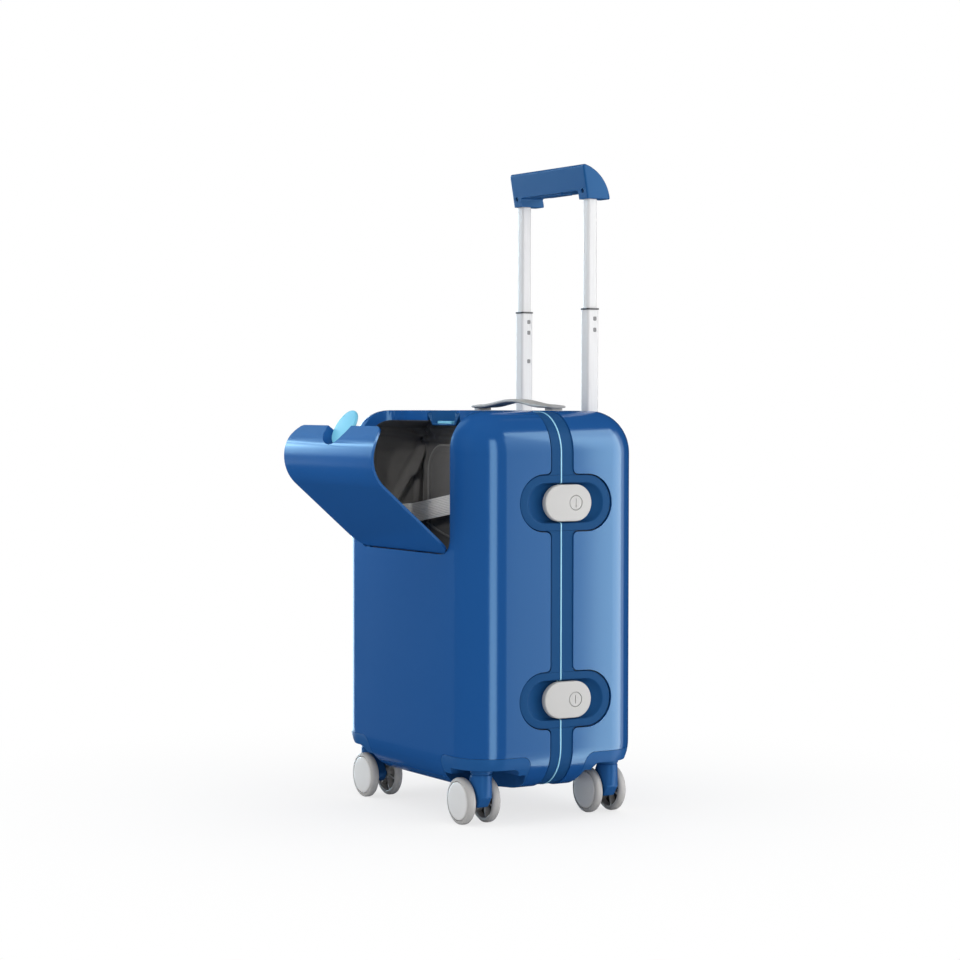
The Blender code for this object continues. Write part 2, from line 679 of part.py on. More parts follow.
# Hatch
def make_hatch():
    back = FRONT_FRAME_FRONT
    panel = half_shell("hatch_panel", FRONT_FACE, back, FACE_RADIUS, 0.0, back)
    keep_inside(panel, hatch_tool("hatch_outline", -HATCH_CLEARANCE, HATCH_AXIS.z))
    cut(panel, tool_cylinder("hatch_notch", THUMB_DISH_RADIUS - HATCH_CLEARANCE - MM, BODY_TOP - 30 * MM,
                             BODY_TOP + FAR, "z", (0, THUMB_DISH_Y, 0), 32))
    join(panel, hatch_bowl())
    for side_x in (-1, 1):
        label = "left" if side_x < 0 else "right"
        near = HATCH_BARREL_HALF
        far = near + HATCH_LUG_WIDTH + MM
        low_x, high_x = sorted((side_x * near, side_x * far))
        low = (low_x, FRONT_FACE - FAR, HATCH_BOTTOM - MM)
        high = (high_x, FRONT_FACE + 10 * MM, HATCH_AXIS.z + HATCH_LUG_RADIUS + 1.3 * MM)
        cut(panel, tool_box("hatch_lug_room_" + label, low, high))
        join(panel, button_ear(side_x, label))
    join(panel, tool_cylinder("hatch_barrel", HATCH_BARREL_RADIUS, -HATCH_BARREL_HALF, HATCH_BARREL_HALF, "x",
                              HATCH_AXIS, 16))
    cut(panel, tool_cylinder("hatch_barrel_bore", HATCH_ROD_RADIUS + GAP, -HATCH_HALF_WIDTH, HATCH_HALF_WIDTH, "x",
                             HATCH_AXIS, 16))
    bore = BUTTON_ARM_HALF + BUTTON_EAR + 2 * MM
    cut(panel, tool_cylinder("button_ear_bore", BUTTON_PIN_RADIUS + 0.2 * MM, -bore, bore, "x", BUTTON_PIVOT, 12))
    return panel


def dish_space(name):
    """The room inside the thumb dish, a little narrower at its floor."""
    top = THUMB_DISH_RADIUS - HATCH_CLEARANCE - THUMB_DISH_WALL
    bottom = BODY_TOP - THUMB_DISH_DEPTH + THUMB_DISH_WALL
    mesh = cylinder_mesh(top - THUMB_DISH_DRAFT, bottom, BODY_TOP, "z", (0, THUMB_DISH_Y, 0), 32, top)
    return add_object(name, mesh)


def hatch_bowl():
    """The front half of the thumb dish, with a slot for the thumb button's arm."""
    outer = THUMB_DISH_RADIUS - HATCH_CLEARANCE
    bottom = BODY_TOP - THUMB_DISH_DEPTH
    bowl = add_object("hatch_bowl_solid", cylinder_mesh(outer - THUMB_DISH_DRAFT, bottom, BODY_TOP, "z",
                                                        (0, THUMB_DISH_Y, 0), 32, outer))
    keep_inside(bowl, add_object("hatch_bowl_keep", case_mesh(MM, FRONT_FACE, FRONT_FRAME_FRONT, FACE_RADIUS, 0.0)))
    cut(bowl, dish_space("hatch_bowl_space"))
    back = HATCH_BACK - HATCH_CLEARANCE
    cut(bowl, tool_box("hatch_bowl_back", (-FAR, back, bottom - MM), (FAR, FAR, BODY_TOP + FAR)))
    half = BUTTON_ARM_HALF + 0.5 * MM
    cut(bowl, tool_box("hatch_bowl_slot", (-half, FRONT_FACE, bottom - MM),
                       (half, BUTTON_CENTRE.y - BUTTON_RADIUS + 12 * MM, BUTTON_PIVOT.z + 6 * MM)))
    return bowl


def button_ear(side_x, label):
    """An ear under the hatch panel that carries the thumb button's pin."""
    inner = BUTTON_ARM_HALF + 0.5 * MM
    low_x, high_x = sorted((side_x * inner, side_x * (inner + BUTTON_EAR)))
    half = BUTTON_EAR_RADIUS
    top = BODY_TOP - SHELL_WALL + 0.2 * MM
    drop = BUTTON_PIVOT.y - (FRONT_FACE + FACE_RADIUS)
    top = BODY_TOP - FACE_RADIUS + math.sqrt(FACE_RADIUS ** 2 - drop ** 2) - SHELL_WALL + 0.5 * MM
    ear = tool_box("button_ear_" + label, (low_x, BUTTON_PIVOT.y - half, BUTTON_PIVOT.z),
                   (high_x, BUTTON_PIVOT.y + half, top))
    join(ear, tool_cylinder("button_ear_eye_" + label, half, low_x, high_x, "x", BUTTON_PIVOT, 16))
    return ear


def make_hatch_rod():
    half = HATCH_BARREL_HALF + HATCH_LUG_WIDTH
    rod = add_object("hatch_rod", cylinder_mesh(HATCH_ROD_RADIUS, -half, half, "x", HATCH_AXIS, 12), "steel")
    return rod


def make_thumb_button():
    mesh = cylinder_mesh(BUTTON_RADIUS, -BUTTON_THICKNESS / 2, BUTTON_THICKNESS / 2, "z", (0, 0, 0), 32)
    bmesh.ops.rotate(mesh, matrix=Matrix.Rotation(BUTTON_TILT, 3, "X"), verts=mesh.verts)
    bmesh.ops.translate(mesh, vec=BUTTON_CENTRE, verts=mesh.verts)
    button = add_object("thumb_button", mesh, "accent")
    low = (-BUTTON_ARM_HALF, BUTTON_PIVOT.y, BUTTON_PIVOT.z - BUTTON_EAR_RADIUS)
    high = (BUTTON_ARM_HALF, BUTTON_CENTRE.y - BUTTON_RADIUS + 8 * MM, BUTTON_PIVOT.z + BUTTON_EAR_RADIUS)
    join(button, tool_box("button_arm", low, high))
    join(button, tool_cylinder("button_eye", BUTTON_EAR_RADIUS, -BUTTON_ARM_HALF, BUTTON_ARM_HALF, "x",
                               BUTTON_PIVOT, 16))
    cut(button, tool_cylinder("button_bore", BUTTON_PIN_RADIUS + 0.2 * MM, -FAR, FAR, "x", BUTTON_PIVOT, 12))
    set_origin(button, BUTTON_PIVOT)
    return button


def make_button_pin():
    half = BUTTON_ARM_HALF + BUTTON_EAR
    return add_object("button_pin", cylinder_mesh(BUTTON_PIN_RADIUS, -half, half, "x", BUTTON_PIVOT, 12), "steel")


def make_catch_dish():
    """The block under the case's top rim with the hollow that the thumb button's rear half drops into."""
    bottom = BODY_TOP - THUMB_DISH_DEPTH
    shoulder = bottom + CATCH_SHOULDER
    top = BODY_TOP - SHELL_WALL - GAP
    points = [
        (-CATCH_BOTTOM_HALF, bottom),
        (CATCH_BOTTOM_HALF, bottom),
        (CATCH_TOP_HALF, shoulder),
        (CATCH_TOP_HALF, top),
        (-CATCH_TOP_HALF, top),
        (-CATCH_TOP_HALF, shoulder),
    ]
    dish = flat_outline("catch_dish", points, CATCH_LENGTH / 2, "frame", HATCH_BACK + CATCH_LENGTH / 2)
    centre = (0, THUMB_DISH_Y, 0)
    join(dish, tool_cylinder("catch_dish_rim", THUMB_DISH_RADIUS - GAP, shoulder, BODY_TOP - GAP, "z", centre, 32))
    cut(dish, dish_space("catch_dish_space"))
    cut(dish, tool_box("catch_dish_front", (-FAR, FRONT_FACE, bottom - MM), (FAR, HATCH_BACK, BODY_TOP + FAR)))
    return dish


def make_catch_striker():
    floor = BODY_TOP - THUMB_DISH_DEPTH + THUMB_DISH_WALL + GAP
    front = HATCH_BACK + MM
    low = (-STRIKER_HALF_WIDTH, front, floor)
    high = (STRIKER_HALF_WIDTH, front + STRIKER_LENGTH, floor + STRIKER_HEIGHT)
    return add_object("catch_striker", slab_mesh(low, high, "z", 1.5 * MM, 2), "accent")


# Latches
def make_latch(label, height):
    low = (LATCH_UNDER, LATCH_FRONT, height - LATCH_WIDTH / 2)
    high = (LATCH_TOP, LATCH_BACK, height + LATCH_WIDTH / 2)
    mesh = stadium_mesh(low, high)
    for plane, radius in ((LATCH_TOP, LATCH_EDGE), (LATCH_UNDER, LATCH_EDGE + MM)):
        rim = [e for e in mesh.edges if all(abs(v.co.x - plane) < 1e-6 for v in e.verts)]
        round_edges(mesh, rim, radius, 2)
    cover = add_object("latch_cover_" + label, mesh, "grey")
    lock_y = LATCH_BACK - LOCK_SETBACK
    lock_centre = (0, lock_y, height)
    cut(cover, tool_cylinder("lock_hole_" + label, LOCK_RADIUS + GAP, LATCH_TOP - LOCK_DEPTH, LATCH_TOP + FAR, "x",
                             lock_centre, 24))
    half = LATCH_KNUCKLE_HALF + 0.6 * MM
    slot_low = (LATCH_UNDER - FAR, LATCH_PIVOT.y - 7 * MM, height - half)
    slot_high = (LATCH_PIVOT.x + LATCH_KNUCKLE_RADIUS + 0.4 * MM, LATCH_BACK + FAR, height + half)
    cut(cover, tool_box("latch_slot_" + label, slot_low, slot_high))
    pin_half = LATCH_KNUCKLE_HALF + 5 * MM
    cut(cover, tool_cylinder("latch_pin_hole_" + label, LATCH_PIN_RADIUS + GAP, height - pin_half - GAP,
                             height + pin_half + GAP, "z", LATCH_PIVOT, 12))
    set_origin(cover, LATCH_PIVOT + Vector((0, 0, height)))
    pin = add_object("latch_pin_" + label, cylinder_mesh(LATCH_PIN_RADIUS, height - pin_half, height + pin_half, "z",
                                                         LATCH_PIVOT, 12), "steel")
    make_lock_cylinder(label, Vector((LATCH_TOP, lock_y, height)))
    return cover, pin


def make_lock_cylinder(label, face):
    mesh = cylinder_mesh(LOCK_RADIUS, -LOCK_DEPTH + GAP, 0.0, "x", face, 24)
    lock = add_object("lock_cylinder_" + label, mesh, "grey")
    half = LOCK_SLOT / 2
    low = (face.x - 2 * MM, face.y - half, face.z - LOCK_RADIUS + 3 * MM)
    high = (face.x + FAR, face.y + half, face.z + LOCK_RADIUS - 3 * MM)
    cut(lock, tool_box("lock_slot_" + label, low, high))
    set_origin(lock, face)
    return lock


# Case hinges
def make_case_hinge(label, height):
    axis = Vector((CASE_HINGE_AXIS_X, CASE_HINGE_AXIS_Y, 0))
    inner = SIDE_FACE - BAND_RECESS + GAP
    centre_half = CASE_HINGE_CENTRE_HALF - 0.2 * MM
    front_mesh = box_mesh((-CASE_LEAF_OUT, FRONT_FRAME_FRONT + MM, height - centre_half),
                          (-inner, FRONT_FRAME_BACK - GAP, height + centre_half))
    front_leaf = add_object("case_hinge_front_leaf_" + label, front_mesh, "frame")
    join(front_leaf, tool_cylinder("front_eye_" + label, CASE_HINGE_RADIUS, height - centre_half,
                                   height + centre_half, "z", axis, 16))
    rear_mesh = box_mesh((-CASE_LEAF_OUT, REAR_FRAME_FRONT + GAP, height - CASE_HINGE_HALF),
                         (-inner, REAR_FRAME_BACK - MM, height + CASE_HINGE_HALF))
    rear_leaf = add_object("case_hinge_rear_leaf_" + label, rear_mesh, "frame")
    join(rear_leaf, tool_cylinder("rear_eye_" + label, CASE_HINGE_RADIUS, height - CASE_HINGE_HALF,
                                  height + CASE_HINGE_HALF, "z", axis, 16))
    room_half = CASE_HINGE_CENTRE_HALF + 0.2 * MM
    low = (axis.x - FAR, axis.y - FAR, height - room_half)
    high = (-inner + MM, axis.y + CASE_HINGE_RADIUS + 1.5 * MM, height + room_half)
    cut(rear_leaf, tool_box("rear_leaf_room_" + label, low, high))
    bore = tool_cylinder("case_hinge_bore_" + label, CASE_HINGE_PIN + 0.2 * MM, height - FAR, height + FAR, "z",
                         axis, 12)
    cut(front_leaf, bore)
    cut(rear_leaf, bore)
    pin_mesh = cylinder_mesh(CASE_HINGE_PIN, height - CASE_HINGE_HALF, height + CASE_HINGE_HALF, "z", axis, 12)
    return add_object("case_hinge_pin_" + label, pin_mesh, "steel")


# Trolley
def bezel_tool(name, grow):
    low = (-BEZEL_HALF_WIDTH - grow, TUBE_Y - BEZEL_HALF_DEPTH - grow, BEZEL_BOTTOM - grow)
    high = (BEZEL_HALF_WIDTH + grow, TUBE_Y + BEZEL_HALF_DEPTH + grow, BODY_TOP + FAR)
    return tool_box(name, low, high, "z", 6 * MM)


def square_tube(name, side_x, outer, wall, bottom, top, look):
    def block(size, low_z, high_z):
        half = size / 2
        radius = max(TUBE_CORNER - (outer - size) / 2, 0.6 * MM)
        return slab_mesh((side_x * TUBE_X - half, TUBE_Y - half, low_z),
                         (side_x * TUBE_X + half, TUBE_Y + half, high_z), "z", radius, 3)

    tube = add_object(name, block(outer, bottom, top), look)
    cut(tube, add_object(name + "_bore", block(outer - 2 * wall, bottom - FAR, top + FAR)))
    return tube


def lock_hole(tube, name, side_x, height):
    """A button hole through the outer wall of a lower tube, on its +X face."""
    face = side_x * TUBE_X + LOWER_TUBE / 2
    cut(tube, tool_cylinder(name, LOCK_HOLE_RADIUS, face - 2 * TUBE_WALL, face + 5 * MM, "x",
                            (0, TUBE_Y, height), 12))


def make_trolley_side(side_x, label):
    running = GAP + 0.1 * MM
    sleeve_bore = LOWER_TUBE + 2 * running
    sleeve = square_tube("trolley_sleeve_" + label, side_x, sleeve_bore + 2 * SLEEVE_WALL, SLEEVE_WALL,
                         SLEEVE_BOTTOM, BEZEL_BOTTOM - GAP, "inner_plastic")
    lower = square_tube("lower_tube_" + label, side_x, LOWER_TUBE, TUBE_WALL, LOWER_TUBE_BOTTOM, LOWER_TUBE_TOP,
                        "tube")
    for index, drop in enumerate(LOCK_HOLES):
        lock_hole(lower, "tube_hole_%s_%d" % (label, index), side_x, LOWER_TUBE_TOP + drop)
    if side_x < 0:
        lock_hole(lower, "tube_hole_left_extra", side_x, LOWER_TUBE_TOP + EXTRA_LOCK_HOLE)
    collar_size = LOWER_TUBE + 2 * COLLAR_PROUD
    collar = square_tube("tube_collar_" + label, side_x, collar_size, (collar_size - UPPER_TUBE) / 2 - GAP,
                         LOWER_TUBE_TOP + GAP, LOWER_TUBE_TOP + GAP + COLLAR_HEIGHT, "inner_plastic")
    upper = square_tube("upper_tube_" + label, side_x, UPPER_TUBE, TUBE_WALL, UPPER_TUBE_BOTTOM,
                        GRIP_BOTTOM + GRIP_SOCKET_DEPTH - MM, "tube")
    return sleeve, lower, collar, upper


def make_bezel():
    mesh = case_mesh(0.0, FRONT_FACE, REAR_FACE, FACE_RADIUS, FACE_RADIUS)
    bezel = add_object("trolley_bezel", mesh, "frame")
    keep_inside(bezel, bezel_tool("bezel_block", 0.0))
    half = LOWER_TUBE / 2 + GAP + 0.1 * MM
    for side_x in (-1, 1):
        low = (side_x * TUBE_X - half, TUBE_Y - half, 0)
        high = (side_x * TUBE_X + half, TUBE_Y + half, BODY_TOP + FAR)
        cut(bezel, tool_box("bezel_tube_hole_%d" % side_x, low, high, "z", TUBE_CORNER, 3))
    return bezel


def grip_section():
    """The grip's section in the YZ plane: a leaning front, a crest and a back that bulges as it runs down."""
    top = GRIP_BOTTOM + GRIP_HEIGHT
    points = [(GRIP_FRONT + GRIP_LEAN, GRIP_BOTTOM)]
    points.append((GRIP_BACK, GRIP_BOTTOM))
    crest = Vector((GRIP_FRONT + GRIP_CREST, top))
    heel = Vector((GRIP_BACK, GRIP_BOTTOM + GRIP_HEEL))
    chord = heel - crest
    along = chord.normalized()
    outward = Vector((-along.y, along.x))
    radius = (chord.length_squared / 4 + GRIP_BULGE ** 2) / (2 * GRIP_BULGE)
    centre = (crest + heel) / 2 - outward * (radius - GRIP_BULGE)
    spread = math.asin(chord.length / 2 / radius)
    for step in range(GRIP_BACK_STEPS + 1):
        angle = spread * (1 - 2 * step / GRIP_BACK_STEPS)
        points.append(tuple(centre + radius * (outward * math.cos(angle) + along * math.sin(angle))))
    points.append((GRIP_FRONT + GRIP_CREST / 4, top - GRIP_BROW / 4))
    points.append((GRIP_FRONT, top - GRIP_BROW))
    return points


def make_grip():
    half = TUBE_X + GRIP_LEG_HALF
    mesh = bmesh.new()
    ring = [mesh.verts.new((-half, y, z)) for y, z in grip_section()]
    face = mesh.faces.new(ring)
    moved = bmesh.ops.extrude_face_region(mesh, geom=[face])["geom"]
    bmesh.ops.translate(mesh, vec=(2 * half, 0, 0), verts=[v for v in moved if isinstance(v, bmesh.types.BMVert)])
    ends = [e for e in mesh.edges if abs(e.verts[0].co.x - e.verts[1].co.x) < 1e-9]
    round_edges(mesh, ends, GRIP_EDGE, 2)
    grip = add_object("grip", mesh, "frame")
    inner = TUBE_X - GRIP_LEG_HALF
    bar = GRIP_BOTTOM + GRIP_LEG_HEIGHT
    cut(grip, tool_box("grip_gap", (-inner, GRIP_FRONT - FAR, GRIP_BOTTOM - FAR), (inner, GRIP_BACK + FAR, bar),
                       "y", 2 * MM, 2))
    socket = UPPER_TUBE / 2 + GAP
    for side_x in (-1, 1):
        centre = side_x * TUBE_X
        cut(grip, tool_box("grip_socket_%d" % side_x, (centre - socket, TUBE_Y - socket, GRIP_BOTTOM - FAR),
                           (centre + socket, TUBE_Y + socket, GRIP_BOTTOM + GRIP_SOCKET_DEPTH), "z",
                           TUBE_CORNER, 3))
        cut(grip, tool_cylinder("grip_rod_hole_%d" % side_x, LINK_HALF + MM, GRIP_BOTTOM, bar + TRIGGER_HEIGHT, "z",
                                (centre, TUBE_Y, 0), 12))
        cut(grip, tool_cylinder("grip_screw_hole_%d" % side_x, SCREW_HEAD_RADIUS + GAP, GRIP_FRONT - FAR,
                                TUBE_Y, "y", (centre, 0, GRIP_BOTTOM + SCREW_RISE), 12))
    room = GAP + 0.2 * MM
    cut(grip, tool_box("trigger_pocket",
                       (-TRIGGER_HALF_LENGTH - room, TUBE_Y - TRIGGER_HALF_WIDTH - room, bar - MM),
                       (TRIGGER_HALF_LENGTH + room, TUBE_Y + TRIGGER_HALF_WIDTH + room,
                        trigger_top() + TRIGGER_TRAVEL + MM)))
    reach = TUBE_X + LINK_HALF + MM
    cut(grip, tool_box("link_slot", (-reach, TUBE_Y - LINK_HALF - 0.5 * MM, trigger_top() - MM),
                       (reach, TUBE_Y + LINK_HALF + 0.5 * MM,
                        trigger_top() + GAP + 2 * LINK_HALF + TRIGGER_TRAVEL + MM)))
    return grip


def trigger_top():
    return GRIP_BOTTOM + GRIP_LEG_HEIGHT - TRIGGER_PROUD + TRIGGER_HEIGHT


def make_trigger():
    low = (-TRIGGER_HALF_LENGTH, TUBE_Y - TRIGGER_HALF_WIDTH, trigger_top() - TRIGGER_HEIGHT)
    high = (TRIGGER_HALF_LENGTH, TUBE_Y + TRIGGER_HALF_WIDTH, trigger_top())
    trigger = add_object("release_trigger", slab_mesh(low, high, "z", 2 * MM, 2), "frame")
    set_origin(trigger, (0, TUBE_Y, low[2]))
    bottom = trigger_top() + GAP
    reach = TUBE_X + LINK_HALF
    link_mesh = box_mesh((-reach, TUBE_Y - LINK_HALF, bottom), (reach, TUBE_Y + LINK_HALF, bottom + 2 * LINK_HALF))
    link = add_object("release_link", link_mesh, "steel")
    for side_x in (-1, 1):
        join(link, tool_cylinder("release_rod_%d" % side_x, LINK_HALF * 0.95, LINK_BOTTOM, bottom + LINK_HALF, "z",
                                 (side_x * TUBE_X, TUBE_Y, 0), 10))
    return trigger, link


def make_grip_screw(side_x, label):
    height = GRIP_BOTTOM + SCREW_RISE
    seat = TUBE_Y - UPPER_TUBE / 2 - GAP
    mesh = cylinder_mesh(SCREW_HEAD_RADIUS, seat - SCREW_LENGTH, seat, "y", (side_x * TUBE_X, 0, height), 12)
    return add_object("grip_screw_" + label, mesh, "steel")


# Carry handle
def make_carry_handle():
    foot = BODY_TOP + GAP
    base = foot + CARRY_FOOT_HEIGHT
    arch = CARRY_HALF_LENGTH - CARRY_FLAT

    def lift(x):
        if abs(x) > arch:
            return 0.0
        return CARRY_RISE * math.cos(math.radians(90) * x / arch) ** 2

    xs = [-CARRY_HALF_LENGTH, -arch]
    xs += [-arch + 2 * arch * step / CARRY_STEPS for step in range(1, CARRY_STEPS)]
    xs += [arch, CARRY_HALF_LENGTH]
    lower = [(x, base + lift(x)) for x in xs]
    upper = [(x, base + lift(x) + CARRY_THICKNESS) for x in reversed(xs)]
    handle = flat_outline("carry_handle", lower + upper, CARRY_HALF_WIDTH, "grey", CARRY_Y)
    for side_x in (-1, 1):
        near = side_x * (arch + 4 * MM)
        far = side_x * (CARRY_HALF_LENGTH - 3 * MM)
        low_x, high_x = sorted((near, far))
        join(handle, tool_box("carry_foot_%d" % side_x, (low_x, CARRY_Y - 0.7 * CARRY_HALF_WIDTH, foot),
                              (high_x, CARRY_Y + 0.7 * CARRY_HALF_WIDTH, base + MM), "z", 3 * MM, 2))
    return handle


# Casters
def make_housing(label, side_x, side_y):
    name = "caster_housing_" + label
    housing = add_object(name, case_mesh(0.0, FRONT_FACE, REAR_FACE, FACE_RADIUS, FACE_RADIUS), "frame")
    keep_inside(housing, pocket_tool(name + "_pocket", side_x, side_y, 0.0))
    centre = (side_x * CASTER_X, side_y * CASTER_Y, 0)
    cut(housing, tool_cylinder(name + "_well", SWEEP + WELL_CLEARANCE, 0.0, WELL_TOP, "z", centre, 32))
    mesh = box_mesh((WELL_SIDE_X, WELL_SIDE_Y, -FAR), (SIDE_FACE + FAR, DEPTH / 2 + FAR, WELL_LEDGE))
    round_edges(mesh, list(mesh.edges), WELL_CORNER, 3)
    cut(housing, add_object(name + "_mouth", mirror_mesh(mesh, side_x, side_y)))
    cut(housing, tool_cylinder(name + "_bore", STEM_RADIUS + GAP, BODY_BOTTOM, WELL_LEDGE + STEM_LENGTH, "z",
                               centre, 16))
    return housing


def fork_mesh(trail):
    """The hooded leg from the swivel collar down to the axle, upright on the side away from the wheels."""
    ahead = -math.copysign(1.0, trail)
    points = []
    for y in (-FORK_HALF_THICKNESS, FORK_HALF_THICKNESS):
        points.append((ahead * FORK_FRONT, y, FORK_FRONT_BOTTOM))
        points.append((ahead * FORK_TOE, y, FORK_TOE_BOTTOM))
    for step in range(16):
        angle = math.radians(360) * step / 16
        x = FORK_TOP_RADIUS * math.cos(angle)
        y = FORK_TOP_RADIUS * math.sin(angle)
        points.append((x, y, COLLAR_BOTTOM + MM))
        points.append((x, y, COLLAR_BOTTOM - 3 * MM))
        end_x = trail + FORK_END_RADIUS * math.cos(angle)
        end_z = WHEEL_RADIUS + FORK_END_RADIUS * math.sin(angle)
        points.append((end_x, -FORK_HALF_THICKNESS, end_z))
        points.append((end_x, FORK_HALF_THICKNESS, end_z))
    mesh = bmesh.new()
    verts = [mesh.verts.new(p) for p in points]
    hull = bmesh.ops.convex_hull(mesh, input=verts)
    spare = [v for v in hull["geom_interior"] + hull["geom_unused"] if isinstance(v, bmesh.types.BMVert)]
    bmesh.ops.delete(mesh, geom=list(set(spare)), context="VERTS")
    return mesh


def make_fork(label, side_x, side_y):
    name = "caster_fork_" + label
    place = Vector((side_x * CASTER_X, side_y * CASTER_Y, 0))
    trail = -side_x * CASTER_TRAIL
    mesh = fork_mesh(trail)
    bmesh.ops.translate(mesh, vec=place, verts=mesh.verts)
    fork = add_object(name, mesh, "frame")
    join(fork, tool_cylinder(name + "_collar", COLLAR_RADIUS, COLLAR_BOTTOM, WELL_LEDGE - 0.5 * MM, "z", place, 16))
    join(fork, tool_cylinder(name + "_stem", STEM_RADIUS, COLLAR_BOTTOM + MM, WELL_LEDGE + STEM_LENGTH - GAP, "z",
                             place, 16))
    reach = WHEEL_SPACING / 2 + 2 * MM
    join(fork, tool_cylinder(name + "_axle", AXLE_RADIUS, -reach, reach, "y",
                             place + Vector((trail, 0, WHEEL_RADIUS)), 16))
    set_origin(fork, place)
    return fork


def wheel_profile():
    """Radius and place along the axle, from the outer cap's middle round the tyre to the blind bore."""
    half = WHEEL_WIDTH / 2
    bore = AXLE_RADIUS + GAP
    rim = WHEEL_RADIUS
    return [
        (0.0, half),
        (rim - 8.5 * MM, half),
        (rim - 2 * MM, half - 1.2 * MM),
        (rim, half - 3.2 * MM),
        (rim, -half + 2 * MM),
        (rim - 1.5 * MM, -half),
        (rim - 5.5 * MM, -half),
        (rim - 6.5 * MM, -half + 2.5 * MM),
        (8 * MM, -half + 2.5 * MM),
        (7 * MM, -half),
        (bore, -half),
        (bore, half - 2.5 * MM),
        (0.0, half - 2.5 * MM),
    ]


def make_wheel(label, side_x, side_y, side):
    """One of a caster's two wheels; side is -1 for the one nearer the front, 1 for the other."""
    name = "wheel_%s_%s" % (label, "a" if side < 0 else "b")
    mesh = bmesh.new()
    verts = [mesh.verts.new((radius, 0, place)) for radius, place in wheel_profile()]
    for first, second in zip(verts, verts[1:]):
        mesh.edges.new((first, second))
    wheel = add_object(name, mesh, "tyre")
    turn = wheel.modifiers.new("Turn", "SCREW")
    turn.axis = "Z"
    turn.steps = WHEEL_STEPS
    turn.render_steps = WHEEL_STEPS
    turn.use_merge_vertices = True
    turn.merge_threshold = 0.00001
    wheel.rotation_euler = (math.radians(-90) * side, 0, 0)
    wheel.location = (
        side_x * (CASTER_X - CASTER_TRAIL),
        side_y * CASTER_Y + side * WHEEL_SPACING / 2,
        WHEEL_RADIUS,
    )
    return wheel


def centre_on_origin():
    """Stands the middle of the whole outline, open hatch included, over the origin."""
    bpy.context.view_layer.update()
    graph = bpy.context.evaluated_depsgraph_get()
    corners = []
    for obj in PARTS.objects:
        if obj.type != "MESH":
            continue
        shape = obj.evaluated_get(graph)
        corners += [shape.matrix_world @ vert.co for vert in shape.to_mesh().vertices]
        shape.to_mesh_clear()
    middle = [(min(c[i] for c in corners) + max(c[i] for c in corners)) / 2 for i in (0, 1)]
    stand = new_pivot("stand", (0, 0, 0))
    for obj in list(PARTS.objects) + list(CUTTERS.objects):
        if obj.parent is None and obj is not stand:
            obj.parent = stand
    stand.location = (-middle[0], -middle[1], 0)
    bpy.context.view_layer.update()


# Assembly
make_front_shell()
make_rear_shell()
make_front_frame()
make_rear_frame()
make_gasket()
make_front_lining()
make_rear_lining()
make_divider()
make_packing_strap()

HATCH_TOOLS_START = set(CUTTERS.objects)
hatch_panel = make_hatch()
thumb_button = make_thumb_button()
button_pin = make_button_pin()
hatch_tools = [tool for tool in CUTTERS.objects if tool not in HATCH_TOOLS_START]
hatch_pivot = new_pivot("hatch_pivot", HATCH_AXIS)
hang_on(hatch_pivot, hatch_panel, thumb_button, button_pin, *hatch_tools)
hatch_pivot.rotation_euler.x = HATCH_OPEN_ANGLE
make_hatch_rod()
make_catch_dish()
make_catch_striker()

for latch_label, latch_height in LATCH_HEIGHTS.items():
    make_latch(latch_label, latch_height)
for hinge_label, hinge_height in CASE_HINGE_HEIGHTS.items():
    make_case_hinge(hinge_label, hinge_height)

make_bezel()
for tube_side, tube_label in ((-1, "left"), (1, "right")):
    make_trolley_side(tube_side, tube_label)
    make_grip_screw(tube_side, tube_label)
make_grip()
make_trigger()
make_carry_handle()

for corner, (corner_x, corner_y) in CORNERS.items():
    make_housing(corner, corner_x, corner_y)
    make_fork(corner, corner_x, corner_y)
    for wheel_side in (-1, 1):
        make_wheel(corner, corner_x, corner_y, wheel_side)
centre_on_origin()
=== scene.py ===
"""Looks of the kids' rolling case: smooth shells, latches, hatch, lining, trolley and casters.

Shapes are built in millimetres round the middle of the case, +Z up, with the hatch on -Y and the
latches on +X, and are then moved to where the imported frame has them.
"""
import json
import math

import bmesh
import bpy
from mathutils import Matrix, Vector


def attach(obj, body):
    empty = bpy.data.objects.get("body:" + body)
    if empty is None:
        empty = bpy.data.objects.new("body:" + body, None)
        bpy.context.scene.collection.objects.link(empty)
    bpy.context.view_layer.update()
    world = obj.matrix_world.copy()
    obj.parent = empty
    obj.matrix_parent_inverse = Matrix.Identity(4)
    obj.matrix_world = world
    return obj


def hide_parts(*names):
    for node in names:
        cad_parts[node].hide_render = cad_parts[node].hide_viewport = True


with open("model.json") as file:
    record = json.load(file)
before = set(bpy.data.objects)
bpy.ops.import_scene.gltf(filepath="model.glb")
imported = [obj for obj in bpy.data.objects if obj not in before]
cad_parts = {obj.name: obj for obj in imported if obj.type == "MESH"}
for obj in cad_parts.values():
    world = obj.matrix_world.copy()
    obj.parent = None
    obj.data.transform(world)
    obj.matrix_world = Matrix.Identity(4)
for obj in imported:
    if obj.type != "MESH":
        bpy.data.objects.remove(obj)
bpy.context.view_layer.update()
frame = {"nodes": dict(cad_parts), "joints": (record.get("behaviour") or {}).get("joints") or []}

MM = 0.001
FAR = 80.0
TOUCH = 1e-4
SIDES = ((-1, "left"), (1, "right"))

# The middle of the case on the ground, taken from the four caster swivels
SWIVELS = [j["pos_m"] for j in frame["joints"] if j["name"].endswith("_swivel")]
CENTRE = Vector((sum(p[0] for p in SWIVELS) / 4, sum(p[1] for p in SWIVELS) / 4, 0.0))

# Body
SIDE = 168.0
FACE_Y = 117.0
BOTTOM, TOP = 38.0, 481.0
CORNER, FACE = 50.0, 45.0
WALL = 3.0
SHELL_GAP = 0.35
FRONT_GROOVE, LOBE_GROOVE = 2.0, 1.2

